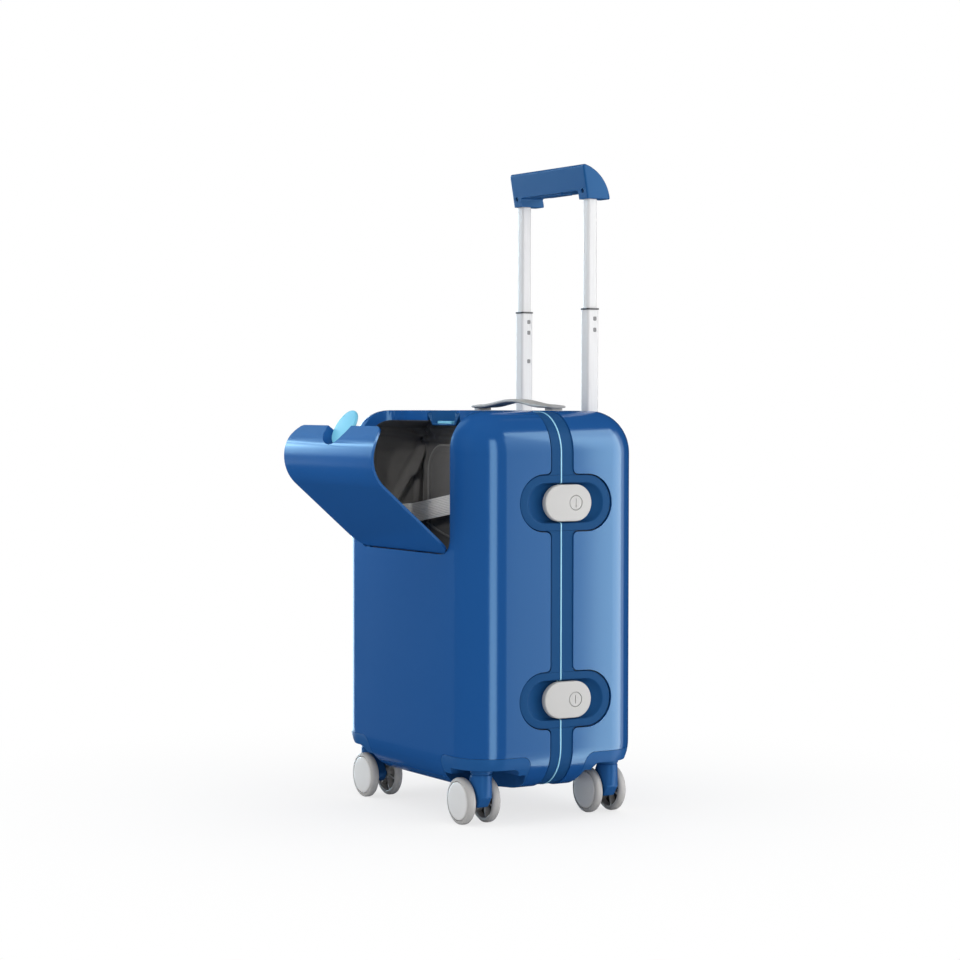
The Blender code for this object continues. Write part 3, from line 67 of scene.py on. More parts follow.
# Band between the halves
BAND_RECESS, BAND_DEPTH = 1.5, 10.0
FRONT_BAND = (-11.0, 1.0)
REAR_BAND = (3.0, 18.0)
GASKET, GASKET_PROUD = (1.3, 2.7), 0.5
SHELL_BACK = FRONT_BAND[0] - FRONT_GROOVE

# Latches and the lobes of the band that they lie in
LATCH_Z = (374.0, 144.0)
LOBE_FRONT, LOBE_BACK, LOBE_HALF = -54.0, 70.5, 32.6
LOBE_BLEND, LOBE_DEEP, LOBE_STEPS = 6.0, 8.0, 24
LATCH_PIN = (165, 37, 0)
LATCH_FACE, LOCK_Y = 170.5, 20

# Case hinges
CASE_AXIS = (-171.3, 1.15, 0)
LEAF_OUT, LEAF_IN = -169.5, -166.8
KNUCKLE, KNUCKLE_GAP, LEAF_HALF = 5.8, 6.2, 18
KNUCKLE_R, CASE_PIN_R = 3.0, 1.5

# Hatch
HINGE = Vector((0.0, -112.5, 318.5))
HATCH_HALF, HATCH_BOTTOM, HATCH_BACK = 113.5, 313.5, -61.0
HATCH_R, HATCH_BACK_R = 20.0, 32.0
HATCH_GAP = 0.7
OPEN_ANGLE = 49
DISH_Y, DISH_R, DISH_FLOOR, DISH_DRAFT = -60.0, 32.0, 465.0, 4.0
FLANGE_DEPTH, FLANGE_WALL = 12.0, 2.0
THUMB_PIVOT = Vector((0, -90, 466))
THUMB_TILT = 11

# Trolley
TUBE_X, TUBE_Y = 76.0, 100.0
TUBE_ROUND, TUBE_WALL = 2.6, 1.2
SLEEVE, LOWER_TUBE, COLLAR, UPPER_TUBE = 19.2, 16.0, 17.4, 13.0
SLEEVE_Z, LOWER_Z, COLLAR_Z, UPPER_Z = (70, 452.7), (432, 603), (603.3, 605.3), (572, 751)
LOCK_HOLES, LEFT_LOCK_HOLE = [592.5, 579.0], 543.0
SCREW_Z = 747
GRIP_HALF = 85.8

# Casters
CASTER_X, CASTER_Y, CASTER_TRAIL = 136.0, 87.5, 17.5
WELL_R, WELL_TOP, LUMP_R, LUMP_TOP = 51.5, 57.8, 53.1, 59.4
POCKET_X, POCKET_Y, POCKET_TOP, POCKET_ROUND = 78, 79, 80, 12
WHEEL_R, WHEEL_APART = 27.5, 17
STEM_R, AXLE_END_R = 12.3, 9.0

# Lining, divider and strap
LINING_INSET, LINING_THICK = 11.8, 1.2
WALL_CLOTH_X, WALL_CLOTH_R = 155.4, 37.0
COVER_HALF, COVER_R = 155.0, 38.0
CLOTH_TURN = (88.0, 431.0)
DIVIDER = (137.0, 55.0, 436.8, 34.0)
STRAP_SLOPE, STRAP_LEFT_Z, STRAP_HALF = 45.0 / 308.0, 372.5, 12.3
STRAP_Y, STRAP_TURN_X, STRAP_RUN, STRAP_WALL_X = -21.0, -148.0, 302.0, -153.2


# Mesh building, in millimetres
def moved(mesh, place):
    bmesh.ops.translate(mesh, vec=place, verts=mesh.verts)
    return mesh


def rotated(mesh, degrees, axis, cent=(0, 0, 0)):
    turn = Matrix.Rotation(math.radians(degrees), 3, axis)
    bmesh.ops.rotate(mesh, cent=cent, matrix=turn, verts=mesh.verts)
    return mesh


def turn_to_axis(mesh, axis):
    """Lays a mesh that was built up Z along another axis."""
    if axis == "x":
        rotated(mesh, 90, "Y")
    elif axis == "y":
        rotated(mesh, -90, "X")
    return mesh


def mirrored(mesh, side_x, side_y=1):
    bmesh.ops.scale(mesh, vec=(side_x, side_y, 1), verts=mesh.verts)
    if side_x * side_y < 0:
        bmesh.ops.reverse_faces(mesh, faces=mesh.faces)
    return mesh


def box(low, high):
    mesh = bmesh.new()
    bmesh.ops.create_cube(mesh, size=1.0)
    bmesh.ops.scale(mesh, vec=Vector(high) - Vector(low), verts=mesh.verts)
    return moved(mesh, (Vector(high) + Vector(low)) / 2)


def along(mesh, axis):
    """The edges that run along an axis."""
    index = "xyz".index(axis)
    spans = [(edge, edge.verts[0].co - edge.verts[1].co) for edge in mesh.edges]
    return [edge for edge, span in spans if abs(span[index]) > 0.9999 * span.length]


def in_plane(items, axis, value):
    """The edges or faces that lie in a plane across an axis."""
    index = "xyz".index(axis)
    return [item for item in items if all(abs(v.co[index] - value) < TOUCH for v in item.verts)]


def round_edges(mesh, edges, radius, steps):
    bmesh.ops.bevel(mesh, geom=edges, offset=radius, offset_type="OFFSET", segments=steps,
                    profile=0.5, affect="EDGES", clamp_overlap=False)


def slab(low, high, axis, radius, steps=6, rims=()):
    """A box rounded along one axis, with its rims at the given (value, radius) rounded too."""
    mesh = box(low, high)
    round_edges(mesh, along(mesh, axis), radius, steps)
    for value, rim_radius in rims:
        round_edges(mesh, in_plane(mesh.edges, axis, value), rim_radius, 3)
    return mesh


def rod(radius, low, high, axis="z", centre=(0, 0, 0), steps=32, end=None):
    mesh = bmesh.new()
    bmesh.ops.create_cone(mesh, cap_ends=True, segments=steps, radius1=radius,
                          radius2=radius if end is None else end, depth=high - low)
    moved(mesh, (0, 0, (low + high) / 2))
    return moved(turn_to_axis(mesh, axis), centre)


def prism(points, axis, low, high):
    """A flat outline pushed along X or Y; its points are the other two coordinates in order."""
    mesh = bmesh.new()
    if axis == "x":
        verts = [mesh.verts.new((low, a, b)) for a, b in points]
        shift = (high - low, 0, 0)
    else:
        verts = [mesh.verts.new((a, low, b)) for a, b in points]
        shift = (0, high - low, 0)
    face = mesh.faces.new(verts)
    made = bmesh.ops.extrude_face_region(mesh, geom=[face])["geom"]
    far_verts = [v for v in made if isinstance(v, bmesh.types.BMVert)]
    bmesh.ops.translate(mesh, vec=shift, verts=far_verts)
    bmesh.ops.recalc_face_normals(mesh, faces=mesh.faces)
    return mesh


def bridge_rings(mesh, first, second):
    count = max(len(first), len(second))
    for i in range(count):
        j = (i + 1) % count
        if len(first) == 1:
            mesh.faces.new((first[0], second[i], second[j]))
        elif len(second) == 1:
            mesh.faces.new((first[i], first[j], second[0]))
        else:
            mesh.faces.new((first[i], first[j], second[j], second[i]))


def lofted(rings, closed=False):
    """A skin through rings of points, capped at both ends unless it closes on itself."""
    mesh = bmesh.new()
    loops = [[mesh.verts.new(point) for point in ring] for ring in rings]
    for first, second in zip(loops, loops[1:] + (loops[:1] if closed else [])):
        bridge_rings(mesh, first, second)
    for loop in [] if closed else [loops[0], loops[-1]]:
        if len(loop) > 1:
            mesh.faces.new(loop)
    bmesh.ops.recalc_face_normals(mesh, faces=mesh.faces)
    return mesh


def turned(profile, steps=48, closed=False):
    """A profile of (radius, height) pairs turned round Z."""
    angles = [2 * math.pi * i / steps for i in range(steps)]
    return lofted([[(0, 0, height)] if radius < 1e-6 else
                   [(radius * math.cos(a), radius * math.sin(a), height) for a in angles]
                   for radius, height in profile], closed)


def stadium(front, back, half, steps):
    """A round-ended outline in Y and Z."""
    points = []
    for centre, start in ((front + half, 90), (back - half, -90)):
        for index in range(steps + 1):
            angle = math.radians(start + 180 * index / steps)
            points.append((centre + half * math.cos(angle), half * math.sin(angle)))
    return points


def add_object(name, data):
    obj = bpy.data.objects.new(name, data)
    bpy.context.scene.collection.objects.link(obj)
    return obj


def mesh_data(name, mesh):
    """Turns a mesh that is being built into mesh data, and frees it."""
    data = bpy.data.meshes.new(name)
    mesh.to_mesh(data)
    mesh.free()
    return data


def joined(*meshes):
    """Several loose shells as one mesh."""
    result = bmesh.new()
    for mesh in meshes:
        data = mesh_data("part", mesh)
        result.from_mesh(data)
        bpy.data.meshes.remove(data)
    return result


def through_modifiers(mesh, steps, tools=()):
    """Runs a mesh through modifiers, given as kind and settings, and clears their tools."""
    holder = add_object("work", mesh_data("work", mesh))
    for kind, settings in steps:
        modifier = holder.modifiers.new(kind, kind)
        for setting, value in settings.items():
            setattr(modifier, setting, value)
    graph = bpy.context.evaluated_depsgraph_get()
    made = bpy.data.meshes.new_from_object(holder.evaluated_get(graph))
    result = bmesh.new()
    result.from_mesh(made)
    for obj in (holder, *tools):
        data = obj.data
        bpy.data.objects.remove(obj, do_unlink=True)
        bpy.data.meshes.remove(data)
    bpy.data.meshes.remove(made)
    return result


def carve(mesh, cuts=(), adds=(), keep=None):
    """Unites, then cuts, then keeps what lies inside the last mesh."""
    shapes = [("UNION", m) for m in adds] + [("DIFFERENCE", m) for m in cuts]
    if keep is not None:
        shapes.append(("INTERSECT", keep))
    steps, tools = [], []
    for operation, shape in shapes:
        tools.append(add_object("tool", mesh_data("tool", shape)))
        steps.append(("BOOLEAN", {"operation": operation, "object": tools[-1]}))
    return through_modifiers(mesh, steps, tools)


def soften(mesh, width, segments=3, angle=40.0):
    """Rounds every edge sharper than the angle."""
    bmesh.ops.remove_doubles(mesh, verts=mesh.verts, dist=TOUCH)
    bmesh.ops.dissolve_degenerate(mesh, edges=mesh.edges, dist=TOUCH)
    return through_modifiers(mesh, [("BEVEL", {
        "width": width, "segments": segments, "limit_method": "ANGLE",
        "angle_limit": math.radians(angle), "miter_outer": "MITER_ARC",
        "use_clamp_overlap": True})])


def slice_between(mesh, low, high):
    """Keeps what lies between two planes across Y, as a closed solid."""
    reach = 4 * FAR
    return carve(mesh, keep=box((-reach, low, -reach), (reach, high, 2 * reach)))


# Objects
def piece(name, mesh, look, body, node=None, crease=35.0, weighted=True, slot=None):
    """Turns a mesh in millimetres into a piece that rides on a body."""
    bmesh.ops.scale(mesh, vec=(MM, MM, MM), verts=mesh.verts)
    data = mesh_data(name, moved(mesh, CENTRE))
    obj = add_object(name, data)
    data.materials.append(look)
    data.shade_smooth()
    data.set_sharp_from_angle(angle=math.radians(crease))
    if weighted:
        normals = obj.modifiers.new("Even shading", "WEIGHTED_NORMAL")
        normals.keep_sharp = True
    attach(obj, body)
    if node:
        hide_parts(node)
    return obj


def cloth(name, mesh, look, flat, rests_on, node=None, **shading):
    """A stretched sheet of the front half or the rear case."""
    body = "rear_case" if name.startswith("rear") else "front_half"
    sheet = piece(name, mesh, look, body, node, **shading)


def opened(mesh):
    """Turns a mesh from the closed hatch to the hatch as it stands open."""
    return rotated(mesh, OPEN_ANGLE, "X", HINGE)


# Node groups and materials
def feed(tree, node, inputs):
    """Sets a node's inputs to plain values, or links them to sockets."""
    for key, value in inputs.items():
        if isinstance(value, bpy.types.NodeSocket):
            tree.links.new(value, node.inputs[key])
        else:
            node.inputs[key].default_value = value


def add_node(tree, kind, inputs=None, **settings):
    node = tree.nodes.new("ShaderNode" + kind)
    for setting, value in settings.items():
        setattr(node, setting, value)
    feed(tree, node, inputs or {})
    return node


def math_node(tree, operation, *values):
    return add_node(tree, "Math", dict(enumerate(values)), operation=operation).outputs[0]


def noise_node(tree, vector, scale, detail, roughness):
    noise = add_node(tree, "TexNoise", {"Vector": vector, "Scale": scale, "Detail": detail,
                                        "Roughness": roughness})
    return noise.outputs["Fac"]


def new_group(name, inputs, outputs):
    """A shader node group; an input without a value is a vector."""
    group = bpy.data.node_groups.new(name, "ShaderNodeTree")
    for label, value in inputs.items():
        kind = "NodeSocketVector" if value is None else "NodeSocketFloat"
        socket = group.interface.new_socket(name=label, in_out="INPUT", socket_type=kind)
        if value is not None:
            socket.default_value = value
    for label in outputs:
        group.interface.new_socket(name=label, in_out="OUTPUT", socket_type="NodeSocketFloat")
    given = group.nodes.new("NodeGroupInput").outputs
    return group, given, group.nodes.new("NodeGroupOutput")


def grain_group():
    """Fine moulded grain: a height for bump and a slow drift in tone."""
    group, given, out = new_group(
        "moulded_grain",
        {"Vector": None, "Grain Scale": 900.0, "Tone Scale": 9.0, "Tone Amount": 0.06},
        ("Height", "Tone", "Smudge"))
    fine = noise_node(group, given["Vector"], given["Grain Scale"], 3.0, 0.6)
    slow = noise_node(group, given["Vector"], given["Tone Scale"], 3.0, 0.55)
    centred = math_node(group, "SUBTRACT", slow, 0.5)
    tone = math_node(group, "MULTIPLY_ADD", centred, given["Tone Amount"], 1.0)
    feed(group, out, {"Height": fine, "Tone": tone, "Smudge": slow})
    return group


def weave_group():
    """Plain weave: two crossed sets of yarns, on all three pairs of axes."""
    group, given, out = new_group(
        "plain_weave", {"Vector": None, "Yarns per metre": 1800.0}, ("Height", "Tone"))
    split = add_node(group, "SeparateXYZ", {0: given["Vector"]})
    pitch = math_node(group, "MULTIPLY", given["Yarns per metre"], math.pi)
    waves = [math_node(group, "SINE", math_node(group, "MULTIPLY", split.outputs[label], pitch))
             for label in "XYZ"]
    pairs = [math_node(group, "MULTIPLY", waves[a], waves[b]) for a, b in ((0, 2), (1, 2), (0, 1))]
    both = math_node(group, "MAXIMUM", pairs[0], pairs[1])
    slow = noise_node(group, given["Vector"], 25.0, 4.0, 0.6)
    feed(group, out, {"Height": math_node(group, "MAXIMUM", both, pairs[2]),
                      "Tone": math_node(group, "MULTIPLY_ADD", slow, 0.5, 0.75)})
    return group


GRAIN = grain_group()
WEAVE = weave_group()


def new_material(name, constants):
    """A material with its shader's constants set, and its object coordinates."""
    material = bpy.data.materials.new(name)
    material.use_nodes = True
    tree = material.node_tree
    shader = tree.nodes["Principled BSDF"]
    feed(tree, shader, constants)
    return material, tree, shader, add_node(tree, "TexCoord").outputs["Object"]


def surface(tree, shader, colour, tone, height, strength, distance):
    """Gives the shader a colour times a tone, and a bump from a height."""
    mix = add_node(tree, "Mix", {"Factor": 1.0, "A": (*colour, 1.0), "B": tone},
                   data_type="RGBA", blend_type="MULTIPLY")
    bump = add_node(tree, "Bump", {"Strength": strength, "Distance": distance, "Height": height})
    feed(tree, shader, {"Base Color": mix.outputs["Result"], "Normal": bump.outputs["Normal"]})


def moulded(name, colour, roughness, scale, depth, tone=0.06, spread=0.04, specular=0.5,
            shine=(1.0, 1.0, 1.0)):
    """Plastic with a fine grain, whose roughness drifts by the spread."""
    material, tree, shader, place = new_material(name, {
        "Roughness": roughness, "Specular IOR Level": specular, "Specular Tint": (*shine, 1.0)})
    grain = add_node(tree, "Group", {"Vector": place, "Grain Scale": scale, "Tone Amount": tone},
                     node_tree=GRAIN).outputs
    low = roughness - spread / 2
    feed(tree, shader, {
        "Roughness": math_node(tree, "MULTIPLY_ADD", grain["Smudge"], spread, low)})
    surface(tree, shader, colour, grain["Tone"], grain["Height"], 0.5, depth)
    return material


def brushed(name, colour, roughness, metallic=1.0, specular=0.5):
    """Drawn metal with fine lines along Z."""
    material, tree, shader, place = new_material(name, {
        "Roughness": roughness, "Metallic": metallic, "Specular IOR Level": specular})
    stretch = add_node(tree, "Mapping", {"Vector": place, "Scale": (1.0, 1.0, 0.012)})
    lines = noise_node(tree, stretch.outputs["Vector"], 1600.0, 2.0, 0.6)
    tone = math_node(tree, "MULTIPLY_ADD", lines, 0.30, 0.85)
    feed(tree, shader, {
        "Roughness": math_node(tree, "MULTIPLY_ADD", lines, 0.10, roughness - 0.05)})
    surface(tree, shader, colour, tone, lines, 0.15, 0.000004)
    return material


def woven(name, colour, yarns, sheen=0.25):
    """Cloth in plain weave, with its yarns per metre."""
    material, tree, shader, place = new_material(name, {
        "Roughness": 0.75, "Sheen Weight": sheen})
    weave = add_node(tree, "Group", {"Vector": place, "Yarns per metre": yarns},
                     node_tree=WEAVE).outputs
    surface(tree, shader, colour, weave["Tone"], weave["Height"], 0.6, 0.0001)
    return material


def ribbed_webbing(name, colour, slope, rib_pitch=0.0021):
    """Elastic webbing with ribs along its length, which leans by the slope."""
    material, tree, shader, place = new_material(name, {
        "Roughness": 0.8, "Sheen Weight": 0.2})
    split = add_node(tree, "SeparateXYZ", {0: place}).outputs
    level = math_node(tree, "MULTIPLY_ADD", split["X"], -slope, split["Z"])
    ribs = math_node(tree, "SINE", math_node(tree, "MULTIPLY", level, 2 * math.pi / rib_pitch))
    fine = noise_node(tree, place, 700.0, 2.0, 0.6)
    tone = math_node(tree, "MULTIPLY_ADD", ribs, 0.10, 0.82)
    tone = math_node(tree, "MULTIPLY_ADD", fine, 0.16, tone)
    surface(tree, shader, colour, tone, ribs, 0.7, 0.0004)
    return material


# Mouldings: name, colour, roughness, grain scale, grain depth in metres
BLUE_SHINE = (0.50, 0.84, 1.0)
shell_look = moulded("glossy_blue_shell", (0.0120, 0.081, 0.272), 0.16, 500.0,
                     0.000003, tone=0.03, spread=0.03, shine=BLUE_SHINE)
band_look = moulded("satin_blue_plastic", (0.0105, 0.064, 0.186), 0.42, 1500.0,
                    0.00002, specular=0.06, shine=BLUE_SHINE)
caster_look = moulded("caster_blue_plastic", (0.0150, 0.088, 0.265), 0.34, 1500.0,
                      0.00002, specular=0.12, shine=BLUE_SHINE)
grip_look = moulded("satin_blue_grip", (0.0130, 0.080, 0.235), 0.34, 1500.0,
                    0.00002, specular=0.15, shine=BLUE_SHINE)
accent_look = moulded("light_blue_plastic", (0.12, 0.41, 0.57), 0.4, 700.0,
                      0.00003, tone=0.16)
seal_look = moulded("light_blue_seal", (0.30, 0.66, 0.86), 0.5, 900.0, 0.00003)
grey_look = moulded("pale_grey_plastic", (0.47, 0.465, 0.455), 0.45, 1200.0, 0.00003)
handle_look = moulded("grey_strap_plastic", (0.36, 0.355, 0.34), 0.5, 700.0,
                      0.0001, tone=0.2)
cap_look = moulded("wheel_cap_grey", (0.66, 0.65, 0.64), 0.42, 1200.0, 0.00003)
tyre_look = moulded("soft_grey_tread", (0.42, 0.41, 0.40), 0.6, 1600.0, 0.00006, tone=0.1)
# Dark grey painted shade for the plates that close the trolley tubes' lock holes.
hole_shade_look = moulded("painted_hole_shade", (0.16, 0.16, 0.165), 0.45, 1200.0,
                         0.00003)
# Black plastic for the sleeves and collars; the same black is also painted shade in the wheels'
# spoke recesses.
black_plastic_and_shade_look = moulded("black_plastic", (0.02, 0.02, 0.022), 0.45, 1200.0, 0.00003)
tube_look = brushed("drawn_aluminium", (0.66, 0.66, 0.665), 0.36, 0.03, 0.2)
steel_look = brushed("plated_steel", (0.62, 0.62, 0.63), 0.3)
lining_look = woven("dark_lining_cloth", (0.150, 0.143, 0.133), 1500.0, sheen=0.35)
piping_look = woven("lining_piping", (0.34, 0.33, 0.31), 2600.0)
elastic_look = ribbed_webbing("elastic_webbing", (0.97, 0.945, 0.90), STRAP_SLOPE)


# Case outline
def case(inset, front, back, front_r=0.0, back_r=0.0, steps=(20, 14)):
    half = SIDE - inset
    mesh = box((-half, front, BOTTOM + inset), (half, back, TOP - inset))
    round_edges(mesh, along(mesh, "y"), CORNER - inset, steps[0])
    for plane, radius in ((front, front_r), (back, back_r)):
        if radius > 0:
            round_edges(mesh, in_plane(mesh.edges, "y", plane), radius, steps[1])
    return mesh


def walled(mesh, open_plane, wall):
    """Turns a solid into a wall of even thickness, open at a plane across Y."""
    lid = in_plane(mesh.faces, "y", open_plane)
    bmesh.ops.delete(mesh, geom=lid, context="FACES_ONLY")
    settings = {"thickness": wall, "offset": -1.0, "use_even_offset": True}
    return through_modifiers(mesh, [("SOLIDIFY", settings)])


def front_wall(back, wall):
    return walled(case(0.0, -FACE_Y, back, FACE), back, wall)


def lobe_block(height, side, edge, tip, half, low, high):
    """Half a stadium across X that flows out of the band with small hollow fillets."""
    centre, start = tip - side * half, edge + side * LOBE_BLEND
    ends = {up: height + up * half + up * LOBE_BLEND for up in (1, -1)}

    def fillet(up, angles):
        return [(start - side * LOBE_BLEND * math.sin(math.radians(a)),
                 ends[up] - up * LOBE_BLEND * math.cos(math.radians(a))) for a in angles]
    quarter = (90, 67.5, 45, 22.5, 0)
    nose = [(centre + side * half * math.cos(math.radians(a)),
             height + half * math.sin(math.radians(a))) for a in range(90, -91, -9)]
    root = edge - side * 2
    outline = [(root, ends[1]), *fillet(1, quarter), *nose, *fillet(-1, quarter[::-1]),
               (root, ends[-1])]
    return prism(outline, "x", low, high)


def lobe_cuts(side, edge, tip):
    """Room in a shell for the lobes of the band."""
    return [lobe_block(height, side, edge, tip + side * LOBE_GROOVE, LOBE_HALF + LOBE_GROOVE,
                       SIDE - 20, SIDE + FAR) for height in LATCH_Z]


def hatch_block(grow, bottom):
    half, back = HATCH_HALF + grow, HATCH_BACK + grow
    mesh = box((-half, -FACE_Y - FAR, bottom), (half, back, TOP + FAR))
    edges = [e for e in along(mesh, "y") if e.verts[0].co.z < bottom + 1]
    round_edges(mesh, edges, HATCH_R + grow, 12)
    edges = [e for e in along(mesh, "z") if e.verts[0].co.y > back - 1]
    round_edges(mesh, edges, HATCH_BACK_R + grow, 14)
    return mesh


def dish_rod(radius, low, high, end=None):
    return rod(radius, low, high, "z", (0, DISH_Y, 0), 64, end)


def dish_space():
    """The room in the thumb dish: a shallow cone that opens upwards."""
    low_r, high = DISH_R - 2.7 - DISH_DRAFT, TOP + 9
    widening = DISH_DRAFT / (TOP - DISH_FLOOR) * (high - DISH_FLOOR)
    return dish_rod(low_r, DISH_FLOOR, high, low_r + widening)


def pocket_block(side_x, side_y, grow, steps=6):
    """The corner block and round lump that a caster housing fills."""
    low = (SIDE - POCKET_X - grow, FACE_Y - POCKET_Y - grow, BOTTOM - FAR)
    mesh = box(low, (SIDE + FAR, FACE_Y + FAR, POCKET_TOP + grow))
    round_edges(mesh, list(mesh.edges), POCKET_ROUND, steps)
    mirrored(mesh, side_x, side_y)
    centre = (side_x * CASTER_X, side_y * CASTER_Y, 0)
    lump = rod(LUMP_R + grow, BOTTOM - FAR, LUMP_TOP + grow, "z", centre, 64)
    return carve(mesh, adds=[lump])


def pocket_cuts(side_y, grow, steps=6):
    return [pocket_block(side, side_y, grow, steps) for side in (-1, 1)]


# Shells
def opening_flange():
    """The turned-in edge round the hatch opening."""
    mesh = front_wall(SHELL_BACK, FLANGE_DEPTH)
    outside = hatch_block(FLANGE_WALL, HATCH_BOTTOM - FLANGE_WALL)
    cuts = [hatch_block(0.0, HATCH_BOTTOM), box((-39.5, -70, 440), (39.5, -10, 520))]
    return carve(carve(mesh, keep=outside), cuts=cuts)


def make_front_shell():
    mesh = front_wall(SHELL_BACK, WALL)
    cuts = [hatch_block(0.0, HATCH_BOTTOM), dish_rod(DISH_R, TOP - 20, TOP + FAR)]
    cuts += lobe_cuts(-1, SHELL_BACK, LOBE_FRONT) + pocket_cuts(-1, SHELL_GAP)
    mesh = soften(carve(mesh, adds=[opening_flange()], cuts=cuts), 1.2, 4)
    piece("front_shell_skin", mesh, shell_look, "front_half", "front_shell")
    for side, label in SIDES:
        near, far = sorted((side * 88.5, side * 94.5))
        face = -FACE_Y + WALL
        lug = box((near, face - 0.5, HINGE.z - 22), (far, face + 4, HINGE.z))
        lug = carve(lug, adds=[rod(2.6, near, far, "x", HINGE, 32)],
                    cuts=[rod(1.7, -200, 200, "x", HINGE, 24)])
        piece("hatch_lug_" + label, soften(lug, 0.5), band_look, "front_half")


def make_rear_shell():
    front = REAR_BAND[1] + SHELL_GAP
    mesh = walled(case(0.0, front, FACE_Y, 0.0, FACE), front, WALL)
    cuts = lobe_cuts(1, front, LOBE_BACK) + pocket_cuts(1, SHELL_GAP)
    cuts.append(slab((-97.3, 86.7, 440), (97.3, 113.3, TOP + FAR), "z", 6.3, 6))
    mesh = soften(carve(mesh, cuts=cuts), 1.1, 3)
    piece("rear_shell_skin", mesh, shell_look, "rear_case", "rear_shell")


# Band, lobes and seal

# Rings of a lobe's plate: front end, back end, half height, depth
LOBE_RINGS = (
    (LOBE_FRONT, LOBE_BACK, LOBE_HALF, LOBE_DEEP), (-54.0, 70.5, 32.6, 0.5),
    (-53.6, 70.1, 32.2, 0.1), (-53.0, 69.5, 31.6, 0.0), (-44.4, 61.1, 24.6, 0.0),
    (-43.6, 60.3, 23.9, 0.1), (-42.9, 59.6, 23.4, 0.5), (-41.6, 58.4, 22.9, 1.5),
    (-39.6, 56.6, 22.5, 2.9), (-36.8, 54.2, 22.3, 4.3), (-33.2, 51.2, 22.2, 5.7),
    (-29.0, 48.2, 22.1, 7.0), (-24.0, 45.4, 22.0, 7.7))


def lobe_plate(height, top):
    """The stadium round a latch with its smooth hollow, as one closed solid."""
    return lofted([[(top - depth, y, height + z) for y, z in stadium(front, back, half, LOBE_STEPS)]
                   for front, back, half, depth in LOBE_RINGS])


def band_part(proud, low, high):
    """The band with both lobes, cut to what lies between two planes across Y."""
    inset = BAND_RECESS - proud
    top = SIDE - inset
    ring = case(inset, FRONT_BAND[0], REAR_BAND[1])
    cuts, adds = [case(BAND_RECESS + BAND_DEPTH, -FAR, FAR)], []
    for height in LATCH_Z:
        for side, edge in ((-1, FRONT_BAND[0]), (1, REAR_BAND[1])):
            adds.append(lobe_block(height, side, edge, edge + side * 40, LOBE_HALF,
                                   top - LOBE_DEEP, top))
        cuts.append(slab((top - LOBE_DEEP + 0.1, LOBE_FRONT, height - LOBE_HALF),
                         (top + 20, LOBE_BACK, height + LOBE_HALF), "x", LOBE_HALF - 0.05, 16))
    solids = [carve(ring, cuts=cuts, adds=adds)] + [lobe_plate(h, top) for h in LATCH_Z]
    return joined(*[slice_between(solid, low, high) for solid in solids])


def make_band():
    front = band_part(0.0, -FAR, FRONT_BAND[1])
    rear = band_part(0.0, REAR_BAND[0], FAR)
    seal = band_part(GASKET_PROUD, *GASKET)
    inside, outside = 158.5, 160.9
    strikes, ears = [], []
    for height in LATCH_Z:
        strikes.append(slab((inside, -20, height - 9), (outside, -10, height + 9), "x", 1.0, 2,
                            ((outside, 0.5),)))
        ear = box((inside, 34.5, height - 5), (LATCH_PIN[0], 39.5, height + 5))
        ears.append(carve(ear, adds=[rod(3.0, height - 5, height + 5, "z", LATCH_PIN, 24)],
                          cuts=[rod(1.5, 0, 500, "z", LATCH_PIN, 16)]))
    piece("front_band", joined(front, *strikes), band_look, "front_half", "front_frame", 50)
    piece("rear_band", joined(rear, *ears), band_look, "rear_case", "rear_frame", 50)
    piece("band_seal", seal, seal_look, "rear_case", "gasket", 50)


# Latches
def pill(height, front, back, half, low, high, rims):
    """A round-ended plate across X, with rims rounded at the given (value, radius)."""
    mesh = prism(stadium(front, back, half, 20), "x", low, high)
    for value, radius in rims:
        round_edges(mesh, in_plane(mesh.edges, "x", value), radius, 5)
    return moved(mesh, (0, 0, height))


def make_latch(label, height):
    cap = pill(height, -22, 42, 21.5, 164.0, LATCH_FACE, ((LATCH_FACE, 1.6), (164.0, 0.4)))
    base = pill(height, -21.2, 41.2, 20.7, 161.5, 164.2, ((161.5, 1.2),))
    lock = rod(8.9, 165.2, 180, "x", (0, LOCK_Y, height), 48)
    room = box((150, 30, height - 5.6), (168.4, 60, height + 5.6))
    pin = rod(1.7, height - 10.3, height + 10.3, "z", LATCH_PIN, 16)
    mesh = carve(cap, adds=[base], cuts=[lock, room, pin])
    piece("latch_cover_%s_body" % label, mesh, grey_look, "latch_" + label,
          "latch_cover_" + label, 32)
    core = turned([(0, -5.2), (8.35, -5.2), (8.35, -0.5), (7.9, -0.05), (6.9, 0.0), (0, 0.0)])
    moved(turn_to_axis(core, "x"), (LATCH_FACE, LOCK_Y, height))
    slot = slab((LATCH_FACE - 0.9, LOCK_Y - 0.5, height - 5.0), (172, LOCK_Y + 0.5, height + 5.0),
                "x", 0.45, 3)
    piece("lock_core_" + label, carve(core, cuts=[slot]), grey_look, "lock_" + label,
          "lock_cylinder_" + label, 32)


